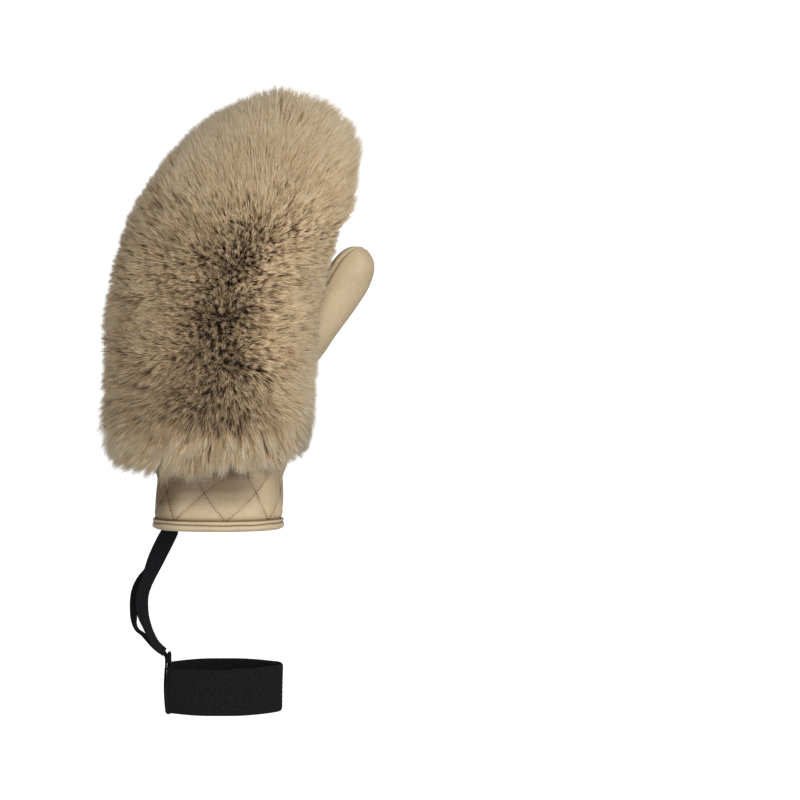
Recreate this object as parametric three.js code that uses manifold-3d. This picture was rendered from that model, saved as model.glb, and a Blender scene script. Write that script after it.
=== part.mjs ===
// A ski mitten for the left hand: a deep fur panel on the back of the hand, a leather palm and
// thumb, a quilted leather cuff with a bound hem, and an elastic wrist band on a webbing leash.
// Millimetres, +Z from the hem to the finger tips, +X to the thumb side, -Y to the back of the hand.
// The origin is the middle of the cuff's mouth, at the lowest edge of the hem binding.
import * as THREE from "three";
import Module from "manifold-3d";

const wasm = await Module();
wasm.setup();

// Driving dimensions
const GAP = 0.3; // clearance that sewn pieces keep to each other
const LEATHER = 2.2; // padded leather wall of the hand and thumb
const HAND_LENGTH = 211; // wrist seam to finger tip, leather only
const HAND_WIDTH = 113; // widest part of the hand, leather only
const HAND_DEPTH = 48; // back of the hand to palm, leather only
const CUFF_HEIGHT = 61; // hem to wrist seam
const CUFF_WIDTH = 83;
const CUFF_DEPTH = 58;
const CUFF_WALL = 3; // quilted leather
const CUFF_WAIST = 2.4; // how far the cuff draws in on its far side, half way up
const QUILT_COUNT = 8; // diamonds round the cuff
const QUILT_HEIGHT = 35; // one diamond from corner to corner
const QUILT_RISE = 1.8; // how far a diamond's middle stands over its seams
const QUILT_START = 84; // degrees round the cuff at which a diamond's lowest corner stands
const QUILT_LEAN = 12; // degrees that one diamond leans towards the thumb side over its height
const QUILT_GRID = 6; // facets along each side of a diamond's box
const BINDING_HEIGHT = 6.6;
const BINDING_LEATHER = 1.4;
const THUMB_LENGTH = 116; // root inside the hand to the thumb's tip
const THUMB_WIDTH = 28;
const THUMB_DEPTH = 27;
const THUMB_LEAN = 32; // degrees from upright, away from the fingers
const THUMB_SEAM_TURN = 40; // degrees that the thumb's seam is turned towards the back of the hand
const FUR_BACKING = 1.6;
const FUR_PILE = 23; // how far the tips of the pile stand off the hand
const FUR_FRINGE = 29; // length of the pile that hangs over the cuff
const MASS_SHARE = 0.55; // of the pile's height that is one closed mass under the free locks
const LOCK_LENGTH = 30;
const LOCK_WIDTH = 19;
const LOCK_SPACING = 18;
const FUR_CLEARANCE = 1; // between the pile and the thumb
const WEBBING = 1.3; // thickness of the leash
const LEASH_WIDTH = 12.5;
const LEASH_DROP = 84; // hem to the leash's lower end
const BAND_STRAP_WIDTH = 10;
const BAND_LENGTH = 77; // the wrist band's loop, end to end
const BAND_DEPTH = 40;
const BAND_HEIGHT = 31;
const BAND_TILT = 4.5; // degrees that the band's near side hangs lower
const BAND_DROP = 7.8; // leash's lower end to the band's upper rim
const BAND_SIDE = 1.8; // leash's lower end to the band's blunt end, sideways
const BAND_WALL = 1.9;

// Sections of the hand, wrist to tip. Each is a chord across the hand from its left end to its
// right end: x as shares of HAND_WIDTH from the cuff's middle, z as shares of HAND_LENGTH from the
// wrist seam. back and palm are depths as shares of HAND_DEPTH, and curl moves a section to the palm.
const HAND_SECTIONS = [
  { leftX: -0.5, leftZ: 0.0, rightX: 0.43, rightZ: 0.0, back: 0.5, palm: 0.5, curl: 0.0 },
  { leftX: -0.53, leftZ: 0.105, rightX: 0.45, rightZ: 0.1, back: 0.51, palm: 0.49, curl: 0.0 },
  { leftX: -0.545, leftZ: 0.24, rightX: 0.46, rightZ: 0.225, back: 0.53, palm: 0.47, curl: 0.0 },
  { leftX: -0.545, leftZ: 0.375, rightX: 0.475, rightZ: 0.345, back: 0.53, palm: 0.45, curl: 0.01 },
  { leftX: -0.518, leftZ: 0.51, rightX: 0.508, rightZ: 0.46, back: 0.51, palm: 0.43, curl: 0.03 },
  { leftX: -0.452, leftZ: 0.632, rightX: 0.57, rightZ: 0.562, back: 0.48, palm: 0.42, curl: 0.06 },
  { leftX: -0.345, leftZ: 0.742, rightX: 0.632, rightZ: 0.65, back: 0.45, palm: 0.4, curl: 0.1 },
  { leftX: -0.203, leftZ: 0.84, rightX: 0.681, rightZ: 0.737, back: 0.41, palm: 0.37, curl: 0.15 },
  { leftX: -0.044, leftZ: 0.918, rightX: 0.697, rightZ: 0.822, back: 0.35, palm: 0.32, curl: 0.2 },
  { leftX: 0.124, leftZ: 0.97, rightX: 0.663, rightZ: 0.9, back: 0.26, palm: 0.25, curl: 0.24 },
  { leftX: 0.265, leftZ: 0.995, rightX: 0.573, rightZ: 0.958, back: 0.145, palm: 0.145, curl: 0.27 },
  { leftX: 0.42, leftZ: 0.992, rightX: 0.42, rightZ: 0.992, back: 0, palm: 0, curl: 0.28 },
];

// Sections of the thumb: along as shares of THUMB_LENGTH, left and right as shares of THUMB_WIDTH
// from its axis, depth as a share of THUMB_DEPTH.
const THUMB_SECTIONS = [
  { along: 0.0, left: -0.7, right: 0.3, depth: 0.56 },
  { along: 0.28, left: -0.62, right: 0.42, depth: 0.54 },
  { along: 0.48, left: -0.54, right: 0.48, depth: 0.51 },
  { along: 0.66, left: -0.5, right: 0.53, depth: 0.49 },
  { along: 0.785, left: -0.51, right: 0.545, depth: 0.47 },
  { along: 0.875, left: -0.5, right: 0.5, depth: 0.43 },
  { along: 0.94, left: -0.42, right: 0.4, depth: 0.35 },
  { along: 0.982, left: -0.26, right: 0.23, depth: 0.2 },
  { along: 1.0, left: -0.03, right: -0.03, depth: 0 },
];
const THUMB_ROOT = { x: 0.318, y: 0.12, z: 0.117 }; // shares of HAND_WIDTH, HAND_DEPTH, HAND_LENGTH

// The leash from the hem down: drop as a share of LEASH_DROP, side and back in leash widths from
// where it leaves the cuff, turn in degrees from facing the back of the hand to edge on.
const LEASH_ROUTE = [
  { drop: 0.045, side: -0.1, back: 0.0, turn: -42 },
  { drop: 0.13, side: -0.47, back: 0.02, turn: -22 },
  { drop: 0.255, side: -0.88, back: 0.02, turn: -28 },
  { drop: 0.39, side: -1.26, back: -0.02, turn: -46 },
  { drop: 0.47, side: -1.48, back: -0.06, turn: -51 },
  { drop: 0.55, side: -1.63, back: -0.1, turn: -52 },
  { drop: 0.63, side: -1.65, back: -0.12, turn: -53 },
  { drop: 0.71, side: -1.57, back: -0.12, turn: -59 },
  { drop: 0.78, side: -1.41, back: -0.1, turn: -67 },
  { drop: 0.845, side: -1.24, back: -0.08, turn: -71 },
  { drop: 0.92, side: -1.0, back: -0.04, turn: -71 },
  { drop: 0.965, side: -0.74, back: -0.02, turn: -72 },
  { drop: 1.0, side: -0.47, back: 0.0, turn: -72 },
];
const LEASH_SEAT = 210; // degrees round the cuff at which the leash is sewn inside it
const LEASH_INSIDE = 24; // how far the leash runs up inside the cuff

// The slack of the band's strap beside the leash: the share of LEASH_DROP at which it passes, how
// far it stands off the leash's line to the side and behind it, in leash widths, and its turn.
const SLACK_ROUTE = [
  { drop: 0.32, off: -0.02, behind: 0.16, turn: -34 },
  { drop: 0.375, off: 0.14, behind: 0.24, turn: -44 },
  { drop: 0.43, off: 0.34, behind: 0.36, turn: -54 },
  { drop: 0.495, off: 0.43, behind: 0.42, turn: -60 },
  { drop: 0.57, off: 0.45, behind: 0.42, turn: -64 },
  { drop: 0.65, off: 0.48, behind: 0.42, turn: -65 },
  { drop: 0.725, off: 0.57, behind: 0.42, turn: -69 },
  { drop: 0.78, off: 0.67, behind: 0.4, turn: -79 },
  { drop: 0.815, off: 0.66, behind: 0.36, turn: -84 },
  { drop: 0.84, off: 0.57, behind: 0.3, turn: -85 },
  { drop: 0.86, off: 0.43, behind: 0.26, turn: -84 },
  { drop: 0.917, off: 0.23, behind: 0.19, turn: -77 },
  { drop: 0.964, off: 0.17, behind: 0.2, turn: -74 },
  { drop: 0.995, off: 0.15, behind: 0.24, turn: -74 },
];

// The wrist band's outline seen from above: along as shares of BAND_LENGTH from its blunt end,
// reach as a share of half BAND_DEPTH.
const BAND_OUTLINE = [
  { along: 0.0, reach: 0.0 },
  { along: 0.0, reach: 0.36 },
  { along: 0.045, reach: 0.56 },
  { along: 0.18, reach: 0.84 },
  { along: 0.36, reach: 1.0 },
  { along: 0.58, reach: 0.98 },
  { along: 0.78, reach: 0.76 },
  { along: 0.92, reach: 0.44 },
  { along: 0.985, reach: 0.2 },
  { along: 1.0, reach: 0.0 },
];

const radians = THREE.MathUtils.degToRad;
const lerp = THREE.MathUtils.lerp;
const clamp = THREE.MathUtils.clamp;
const smooth = (x, low, high) => THREE.MathUtils.smoothstep(x, low, high);

// Catmull-Rom through every column of a table at row number t.
function sample(rows, t) {
  const i = clamp(Math.floor(t), 0, rows.length - 2);
  const f = t - i;
  const found = {};
  for (const key of Object.keys(rows[0])) {
    const at = (k) => rows[k][key];
    const b = at(i);
    const c = at(i + 1);
    const a = i > 0 ? at(i - 1) : 2 * b - c;
    const d = i + 2 < rows.length ? at(i + 2) : 2 * c - b;
    found[key] =
      b + 0.5 * f * (c - a + f * (2 * a - 5 * b + 4 * c - d + f * (3 * (b - c) + d - a)));
  }
  return found;
}

// A table that ends in a rounded tip runs on past it, mirrored, so that the tip is smooth.
const overTheTip = (rows, mirror) => [...rows, mirror(rows[rows.length - 2])];
const handRows = overTheTip(HAND_SECTIONS, (r) => ({
  leftX: r.rightX,
  leftZ: r.rightZ,
  rightX: r.leftX,
  rightZ: r.leftZ,
  back: -r.back,
  palm: -r.palm,
  curl: r.curl,
}));
const thumbRows = overTheTip(THUMB_SECTIONS, (r) => ({
  along: r.along,
  left: r.right,
  right: r.left,
  depth: -r.depth,
}));

const SQUARENESS = 0.88; // below 1, sections are fuller than an ellipse
const full = (x) => Math.sign(x) * Math.abs(x) ** SQUARENESS;

// A point of the hand's outer face: v from 0 at the wrist seam to 1 at the tip, and the angle
// round it from 0 on the thumb side over the back of the hand to 180 on the far side.
function handPoint(v, degrees) {
  const s = sample(handRows, v * (HAND_SECTIONS.length - 1));
  const c = full(Math.cos(radians(degrees)));
  const d = full(Math.sin(radians(degrees)));
  const x = ((s.leftX + s.rightX) / 2 + ((s.rightX - s.leftX) / 2) * c) * HAND_WIDTH;
  const z = ((s.leftZ + s.rightZ) / 2 + ((s.rightZ - s.leftZ) / 2) * c) * HAND_LENGTH;
  const y = s.curl * HAND_DEPTH - d * (d > 0 ? s.back : s.palm) * HAND_DEPTH;
  return new THREE.Vector3(x, y, z + CUFF_HEIGHT + GAP / 2);
}

const leanAlong = new THREE.Vector3(Math.sin(radians(THUMB_LEAN)), 0, Math.cos(radians(THUMB_LEAN)));
const leanAcross = new THREE.Vector3(leanAlong.z, 0, -leanAlong.x);

function thumbPoint(v, degrees) {
  const s = sample(thumbRows, v * (THUMB_SECTIONS.length - 1));
  const c = Math.cos(radians(degrees));
  const across = (s.left + s.right) / 2 + ((s.right - s.left) / 2) * c;
  return new THREE.Vector3(
    THUMB_ROOT.x * HAND_WIDTH,
    THUMB_ROOT.y * HAND_DEPTH - Math.sin(radians(degrees)) * s.depth * THUMB_DEPTH,
    THUMB_ROOT.z * HAND_LENGTH + CUFF_HEIGHT,
  )
    .addScaledVector(leanAlong, s.along * THUMB_LENGTH)
    .addScaledVector(leanAcross, across * THUMB_WIDTH);
}

// The outward normal of a surface point(v, degrees), from small steps either way.
const STEP = 1e-3;
function normalOf(point, v, degrees) {
  const low = clamp(v - STEP, 0, 1 - 3 * STEP);
  const up = point(low + 2 * STEP, degrees).sub(point(low, degrees));
  const round = point(Math.min(v, 1 - STEP), degrees + 1).sub(point(Math.min(v, 1 - STEP), degrees - 1));
  return up.cross(round).normalize();
}

// The same surface moved out by a distance; by may depend on the place.
const offset = (point, by) => (v, degrees) => {
  const distance = typeof by === "function" ? by(v, degrees) : by;
  return point(v, degrees).addScaledVector(normalOf(point, v, degrees), distance);
};

// Collects triangles with shared corners and drops those that have no width.
class Body {
  constructor() {
    this.corners = new Map();
    this.places = [];
    this.faces = [];
  }
  corner(p) {
    const key = [p.x, p.y, p.z].map((n) => Math.round(n * 1e3)).join();
    if (!this.corners.has(key)) {
      this.corners.set(key, this.places.length / 3);
      this.places.push(p.x, p.y, p.z);
    }
    return this.corners.get(key);
  }
  triangle(a, b, c) {
    const [i, j, k] = [a, b, c].map((p) => this.corner(p));
    if (i !== j && j !== k && k !== i) this.faces.push(i, j, k);
  }
  quad(a, b, c, d) {
    this.triangle(a, b, c);
    this.triangle(a, c, d);
  }
  solid() {
    const made = new wasm.Manifold(
      new wasm.Mesh({
        numProp: 3,
        vertProperties: new Float32Array(this.places),
        triVerts: new Uint32Array(this.faces),
      }),
    );
    if (made.volume() >= 0) return made;
    const faces = this.faces;
    for (let i = 0; i < faces.length; i += 3) [faces[i + 1], faces[i + 2]] = [faces[i + 2], faces[i + 1]];
    return this.solid();
  }
}

// A solid between rings of points, each ring closed, with both ends closed by fans unless the
// rings themselves join up end to end.
function loft(rings, joined = false) {
  const body = new Body();
  const count = rings[0].length;
  const last = joined ? rings.length : rings.length - 1;
  for (let j = 0; j < last; j++) {
    const low = rings[j];
    const high = rings[(j + 1) % rings.length];
    for (let i = 0; i < count; i++) body.quad(low[i], low[(i + 1) % count], high[(i + 1) % count], high[i]);
  }
  if (!joined) {
    for (let i = 1; i < count - 1; i++) {
      body.triangle(rings[0][0], rings[0][i + 1], rings[0][i]);
      body.triangle(rings.at(-1)[0], rings.at(-1)[i], rings.at(-1)[i + 1]);
    }
  }
  return body.solid();
}

// A sheet with a front and a back face, given as grids of points [row][column]. Its rim is closed,
// with wrapped its columns join up into a tube, and turned(row, column) tells which quads of the
// front are split along their other diagonal.
function sheet(front, back, wrapped = false, turned = () => false) {
  const body = new Body();
  const rows = front.length - 1;
  const columns = front[0].length - 1;
  for (let j = 0; j < rows; j++) {
    for (let i = 0; i < columns; i++) {
      const corners = [front[j][i], front[j][i + 1], front[j + 1][i + 1], front[j + 1][i]];
      if (turned(j, i)) corners.unshift(corners.pop());
      body.quad(...corners);
      body.quad(back[j][i], back[j + 1][i], back[j + 1][i + 1], back[j][i + 1]);
    }
    if (!wrapped) {
      body.quad(front[j][0], front[j + 1][0], back[j + 1][0], back[j][0]);
      body.quad(front[j][columns], back[j][columns], back[j + 1][columns], front[j + 1][columns]);
    }
  }
  for (let i = 0; i < columns; i++) {
    body.quad(front[0][i], back[0][i], back[0][i + 1], front[0][i + 1]);
    body.quad(front[rows][i], front[rows][i + 1], back[rows][i + 1], back[rows][i]);
  }
  return body.solid();
}

const steps = (count, from = 0, to = 1) =>
  Array.from({ length: count + 1 }, (_, i) => lerp(from, to, i / count));

// Points of a surface in rows along v, over a range of degrees round it.
const grid = (surface, rows, columns, from, to) =>
  rows.map((v) => steps(columns, from, to).map((degrees) => surface(v, degrees)));

// A closed solid inside a surface, for cutting its neighbours.
function core(surface, rows, columns, from = 0) {
  const turns = steps(columns, from, from + 360).slice(0, -1);
  return loft(rows.map((v) => turns.map((degrees) => surface(v, degrees))));
}

const largest = (solid) =>
  solid.decompose().reduce((best, piece) => (piece.volume() > best.volume() ? piece : best));

const HALF_COLUMNS = 10;
const handLevels = steps(12);
const THUMB_COLUMNS = 8; // of each half
const thumbLevels = steps(10);

// Half of the hand's leather shell, from one side seam to the other.
function handPanel(from, to, side) {
  const outer = grid(handPoint, handLevels, HALF_COLUMNS, from, to);
  const inner = grid(offset(handPoint, -LEATHER), handLevels, HALF_COLUMNS, from, to);
  inner[0].forEach((p) => (p.z = outer[0][0].z));
  const shift = (p) => p.setY(p.y + (side * GAP) / 2);
  outer.flat().forEach(shift);
  inner.flat().forEach(shift);
  return sheet(outer, inner);
}

const thumbHollow = core(offset(thumbPoint, -LEATHER), thumbLevels, 2 * THUMB_COLUMNS, -THUMB_SEAM_TURN);

// Half of the thumb, cut where it meets the hand.
function thumbPanel(from, to) {
  const outer = grid(thumbPoint, thumbLevels, THUMB_COLUMNS, from, to);
  const inner = grid(offset(thumbPoint, -LEATHER), thumbLevels, THUMB_COLUMNS, from, to);
  const middle = thumbPoint(0.5, (from + to) / 2).sub(thumbPoint(0.5, (from + to) / 2 + 180));
  const shift = middle.setLength(GAP / 2);
  [...outer.flat(), ...inner.flat()].forEach((p) => p.add(shift));
  const handGrown = core(offset(handPoint, GAP), handLevels, 2 * HALF_COLUMNS);
  return largest(sheet(outer, inner).subtract(handGrown));
}

// A section of the cuff, h from 0 at the hem to 1 at the wrist seam, where it meets the hand.
function cuffPoint(h, degrees, out = 0) {
  const wrist = sample(handRows, 0);
  const flare = smooth(h, 0.52, 1);
  const waist = (CUFF_WAIST / 2) * smooth(h, 0.1, 0.5) * (1 - flare);
  const middle = flare * ((wrist.leftX + wrist.rightX) / 2) * HAND_WIDTH + waist;
  const half = lerp(CUFF_WIDTH / 2, ((wrist.rightX - wrist.leftX) / 2) * HAND_WIDTH, flare) - waist;
  const sine = Math.sin(radians(degrees));
  const wristDepth = (sine > 0 ? wrist.back : wrist.palm) * HAND_DEPTH;
  const depth = lerp(CUFF_DEPTH / 2, wristDepth, flare);
  const x = middle + full(Math.cos(radians(degrees))) * (half + out);
  return new THREE.Vector3(x, -full(sine) * (depth + out), h * CUFF_HEIGHT);
}

// How many diamonds high a place on the cuff is, counted from the binding's upper edge.
const quiltUp = (h) => (h * CUFF_HEIGHT - BINDING_HEIGHT) / QUILT_HEIGHT;

// How far the quilting stands out: nothing on the diamonds' seams, most in their middles.
function quilt(h, degrees) {
  const up = quiltUp(h);
  const across = ((degrees + QUILT_LEAN * up - QUILT_START) / 360) * QUILT_COUNT;
  const pillow = Math.abs(Math.sin(Math.PI * (across + up)) * Math.sin(Math.PI * (across - up)));
  return QUILT_RISE * Math.sqrt(pillow) * smooth(up, 0, 0.9 / QUILT_GRID);
}

const CUFF_BOTTOM = BINDING_LEATHER + GAP; // the cuff's raw edge inside its binding

function cuff() {
  const levels = [CUFF_BOTTOM / CUFF_HEIGHT];
  const top = CUFF_HEIGHT - GAP / 2;
  for (let z = BINDING_HEIGHT; z < top - 2; z += QUILT_HEIGHT / QUILT_GRID) levels.push(z / CUFF_HEIGHT);
  levels.push(top / CUFF_HEIGHT);
  const columns = QUILT_GRID * QUILT_COUNT;
  const leaning = (out) => (h, degrees) => {
    const turned = degrees - QUILT_LEAN * quiltUp(h);
    return cuffPoint(h, turned, out(h, turned));
  };
  const around = (out) => grid(leaning(out), levels, columns, QUILT_START, QUILT_START + 360);
  // Each quad is split along the seam that crosses it.
  const onFallingSeam = (j, i) => (i + j) % QUILT_GRID === 0;
  return sheet(around(quilt), around(() => -CUFF_WALL), true, onFallingSeam);
}

// A closed solid round the cuff, which stands off its quilting by a distance.
function cuffCore(out) {
  const turns = steps(28, 0, 360).slice(0, -1);
  return loft(
    [0.1, 0.35, 0.5, 0.65, 0.8, 1].map((h) =>
      turns.map((degrees) => cuffPoint(h, degrees, QUILT_RISE + out)),
    ),
  );
}

// A strip of leather folded round the cuff's raw edge: its profile runs down the outside, round
// the fold and up the inside, then back along the inner faces.
function cuffBinding() {
  const outside = GAP + BINDING_LEATHER;
  const inside = CUFF_WALL + GAP + BINDING_LEATHER;
  const middle = (outside - inside) / 2;
  const half = (outside + inside) / 2;
  const fold = steps(4, 0, Math.PI).map((a) => ({
    out: middle + half * Math.cos(a),
    z: CUFF_BOTTOM + GAP - (CUFF_BOTTOM + GAP) * Math.sin(a),
  }));
  const profile = [
    { out: GAP, z: BINDING_HEIGHT },
    { out: outside, z: BINDING_HEIGHT - 0.6 },
    ...fold,
    { out: -inside, z: BINDING_HEIGHT - 0.6 },
    { out: -CUFF_WALL - GAP, z: BINDING_HEIGHT },
    { out: -CUFF_WALL - GAP, z: CUFF_BOTTOM - GAP },
    { out: GAP, z: CUFF_BOTTOM - GAP },
  ];
  const rings = steps(28, 0, 360)
    .slice(0, -1)
    .map((degrees) =>
      profile.map(({ out, z }) => cuffPoint(0, degrees, out).setZ(z)),
    );
  return loft(rings, true);
}

// The way the pile is combed at a place: along the hand, away from a parting on its back, and down
// at the wrist. Its length says how strongly, up to 1.
const PARTING = { v: 0.6, degrees: 80 };
function combing(v, degrees) {
  const normal = normalOf(handPoint, v, degrees);
  const away = handPoint(v, degrees).sub(handPoint(PARTING.v, PARTING.degrees));
  const strength = smooth(away.length(), 0, HAND_WIDTH * 0.45);
  away.z -= (1 - v) * HAND_WIDTH * 0.6;
  away.addScaledVector(normal, -away.dot(normal));
  return away.setLength(strength);
}

// How much of the pile at a place is fringe that hangs over the cuff, least at the hand's sides.
const fringe = (v, degrees) => (1 - smooth(v, 0, 0.1)) * lerp(0.1, 1, smooth(Math.sin(radians(degrees)), 0, 0.6));
const down = new THREE.Vector3(0, 0, -1);

// The closed mass of the pile, a share of its height off the hand.
function furMass(v, degrees) {
  const normal = normalOf(handPoint, v, degrees);
  const edge = lerp(0.8, 1, smooth(Math.sin(radians(degrees)), 0, 0.5));
  return handPoint(v, degrees)
    .addScaledVector(normal, GAP + FUR_BACKING + MASS_SHARE * FUR_PILE * edge)
    .addScaledVector(combing(v, degrees), 0.12 * FUR_PILE)
    .addScaledVector(down, fringe(v, degrees) * 0.66 * FUR_FRINGE);
}

// A lock of fur: a low spike with a ridge, which lies on the mass the way the pile is combed and
// lifts its tip.
function lock(v, degrees, length, width) {
  const normal = normalOf(handPoint, v, degrees);
  const comb = combing(v, degrees);
  const root = furMass(v, degrees);
  const lift = lerp(0.46, 0.32, comb.length());
  const path = (share) =>
    root
      .clone()
      .addScaledVector(normal, length * (lift * share ** 0.8 - 0.15))
      .addScaledVector(comb, length * lerp(0.72, 0.5, v) * share)
      .addScaledVector(down, length * 0.06 * share);
  const tip = path(1);
  const along = tip.clone().sub(path(0)).normalize();
  const wide = new THREE.Vector3().crossVectors(along, normal);
  if (wide.length() < 0.1) wide.crossVectors(along, new THREE.Vector3(1, 0, 0));
  wide.normalize();
  const thick = new THREE.Vector3().crossVectors(wide, along);
  const ring = (share, scale) =>
    [
      [1, 0],
      [0, 0.45],
      [-1, 0],
      [0, -0.45],
    ].map(([a, b]) =>
      path(share).addScaledVector(wide, (a * scale * width) / 2).addScaledVector(thick, (b * scale * width) / 2),
    );
  return loft([ring(0, 0.7), ring(0.35, 1), Array(4).fill(tip)]);
}

// The fur: its backing, seated on the hand, carries a closed mass with free locks all over it.
function furBack() {
  const columns = 13;
  const levels = steps(12, 0.004, 1);
  const inner = grid(offset(handPoint, GAP), levels, columns, 0, 180);
  const outer = grid(furMass, levels, columns, 0, 180);
  [...inner.flat(), ...outer.flat()].forEach((p) => p.setY(p.y - GAP / 2));
  const parts = [sheet(outer, inner)];
  const rows = Math.round(HAND_LENGTH / LOCK_SPACING);
  for (let row = 0; row <= rows; row++) {
    const v = lerp(0.035, 0.97, row / rows);
    const width = handPoint(v, 0).distanceTo(handPoint(v, 180));
    const places = Math.max(3, Math.round((1.25 * width) / LOCK_SPACING));
    for (let k = 0; k <= places; k++) {
      const share = (k + (row % 2 ? 0.5 : 0)) / places;
      if (share > 1) continue;
      const wander = Math.sin(5 * k + 3 * row);
      const degrees = lerp(7, 173, share) + 2 * wander;
      const edge = lerp(0.66, 1, smooth(Math.sin(radians(degrees)), 0, 0.6));
      const size = edge * lerp(0.7, 1, smooth(v, 0.03, 0.1)) * (1 + 0.1 * wander);
      parts.push(lock(v, degrees, LOCK_LENGTH * size, LOCK_WIDTH * size));
    }
  }
  const thumbGrown = core(offset(thumbPoint, FUR_CLEARANCE), thumbLevels, 2 * THUMB_COLUMNS, -THUMB_SEAM_TURN);
  const handGrown = core(offset(handPoint, GAP), handLevels, 2 * HALF_COLUMNS);
  const cuffGrown = cuffCore(GAP);
  return largest(wasm.Manifold.union(parts).subtract(thumbGrown).subtract(handGrown).subtract(cuffGrown));
}

// A flat strap through stations of { at, turn }: turn 0 shows its face to the back of the hand, and
// turn 90 its edge.
function strap(stations, width, thickness) {
  const rings = stations.map(({ at, turn }, i) => {
    const before = stations[Math.max(i - 1, 0)].at;
    const after = stations[Math.min(i + 1, stations.length - 1)].at;
    const along = after.clone().sub(before).normalize();
    const inPlane = new THREE.Vector3(along.z, 0, -along.x).normalize();
    const wide = inPlane.multiplyScalar(Math.cos(radians(turn))).add(
      new THREE.Vector3(0, Math.sin(radians(turn)), 0),
    );
    wide.addScaledVector(along, -wide.dot(along)).normalize();
    const thick = new THREE.Vector3().crossVectors(along, wide);
    return [
      [1, 1],
      [-1, 1],
      [-1, -1],
      [1, -1],
    ].map(([a, b]) =>
      at.clone().addScaledVector(wide, (a * width) / 2).addScaledVector(thick, (b * thickness) / 2),
    );
  });
  return loft(rings);
}

const seatInwards = CUFF_WALL + 2 * GAP + BINDING_LEATHER + WEBBING + 0.4;
const leashSeat = cuffPoint(0, LEASH_SEAT, -seatInwards);
const seatTangent = cuffPoint(0, LEASH_SEAT + 4, 0).sub(cuffPoint(0, LEASH_SEAT - 4, 0));
const seatTurn = -THREE.MathUtils.radToDeg(Math.atan2(seatTangent.y, seatTangent.x));

// The middle of the leash at a row of its route.
function leashAt(t) {
  const r = sample(LEASH_ROUTE, t);
  return {
    at: new THREE.Vector3(
      leashSeat.x + r.side * LEASH_WIDTH,
      leashSeat.y + r.back * LEASH_WIDTH,
      -r.drop * LEASH_DROP,
    ),
    turn: r.turn,
  };
}

function leashStrap() {
  const inside = steps(3, LEASH_INSIDE, 3).map((z) => ({ at: leashSeat.clone().setZ(z), turn: seatTurn }));
  const outside = steps(22, 0, LEASH_ROUTE.length - 1).map(leashAt);
  return strap([...inside, ...outside], LEASH_WIDTH, WEBBING);
}

const leashEnd = leashAt(LEASH_ROUTE.length - 1).at;
const BAND_TOP = -(LEASH_DROP + BAND_DROP);
const STRAP_GAP = 0.4; // between the band and the strap round it
const bandLeft = leashEnd.x + BAND_SIDE;

// The wrist band's outer face seen from above, offset inwards by a distance.
function bandPoint(t, inwards, z) {
  const half = BAND_OUTLINE.length - 1;
  const at = (u) => {
    const mirrored = u > half;
    const r = sample(BAND_OUTLINE, mirrored ? 2 * half - u : clamp(u, 0, half));
    const side = mirrored ? 1 : -1;
    return new THREE.Vector2(bandLeft + r.along * BAND_LENGTH, leashEnd.y + (side * r.reach * BAND_DEPTH) / 2);
  };
  const u = ((t % (2 * half)) + 2 * half) % (2 * half);
  const p = at(u);
  const ahead = at(Math.min(u + 0.05, 2 * half));
  const behind = at(Math.max(u - 0.05, 0));
  const along = ahead.sub(behind).normalize();
  const y = p.y + along.x * inwards;
  const tilt = (y - leashEnd.y) * Math.tan(radians(BAND_TILT));
  return new THREE.Vector3(p.x - along.y * inwards, y, z + tilt);
}

function wristBand() {
  const columns = 32;
  const turn = steps(columns, 0, 2 * (BAND_OUTLINE.length - 1)).slice(0, -1);
  const low = BAND_TOP - BAND_HEIGHT;
  const profile = [
    { inwards: BAND_WALL / 2, z: low },
    { inwards: 0, z: low + 0.8 },
    { inwards: 0, z: BAND_TOP - 0.8 },
    { inwards: BAND_WALL / 2, z: BAND_TOP },
    { inwards: BAND_WALL, z: BAND_TOP - 0.8 },
    { inwards: BAND_WALL, z: low + 0.8 },
  ];
  return loft(
    turn.map((t) => profile.map(({ inwards, z }) => bandPoint(t, inwards, z))),
    true,
  );
}

// The band's strap: sewn behind the leash, slack beside it, then down outside the band's blunt end,
// under it and up inside, where it ends beside the leash's lower end.
function bandStrap() {
  const rows = SLACK_ROUTE.length - 1;
  const leashRowAt = (drop) => {
    const found = steps(180, 0, LEASH_ROUTE.length - 1).find((t) => sample(LEASH_ROUTE, t).drop >= drop);
    return found ?? LEASH_ROUTE.length - 1;
  };
  const slack = steps(20, 0, rows).map((t) => {
    const r = sample(SLACK_ROUTE, t);
    const { at } = leashAt(leashRowAt(r.drop));
    at.x -= r.off * LEASH_WIDTH;
    at.y += r.behind * LEASH_WIDTH + (WEBBING + GAP) * (1 - smooth(r.off, 0, 0.2));
    return { at, turn: r.turn };
  });
  const outer = bandLeft - STRAP_GAP - WEBBING / 2;
  const inner = bandLeft + BAND_WALL + STRAP_GAP + WEBBING / 2;
  const low = BAND_TOP - BAND_HEIGHT - STRAP_GAP;
  const at = (x, z) => ({ at: new THREE.Vector3(x, leashEnd.y, z), turn: -90 });
  const radius = (inner - outer) / 2;
  const fold = steps(6, 0, Math.PI).map((a) =>
    at(outer + radius - radius * Math.cos(a), low - radius * Math.sin(a)),
  );
  return strap(
    [
      ...slack,
      { at: at(outer - WEBBING / 2, BAND_TOP + BAND_DROP / 2).at, turn: -80 },
      at(outer, BAND_TOP - 1),
      at(outer, BAND_TOP - BAND_HEIGHT / 2),
      ...fold,
      at(inner, BAND_TOP - BAND_HEIGHT / 2),
      at(inner, BAND_TOP),
      at(inner - BAND_WALL, BAND_TOP + BAND_DROP),
    ],
    BAND_STRAP_WIDTH,
    WEBBING,
  );
}

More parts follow.
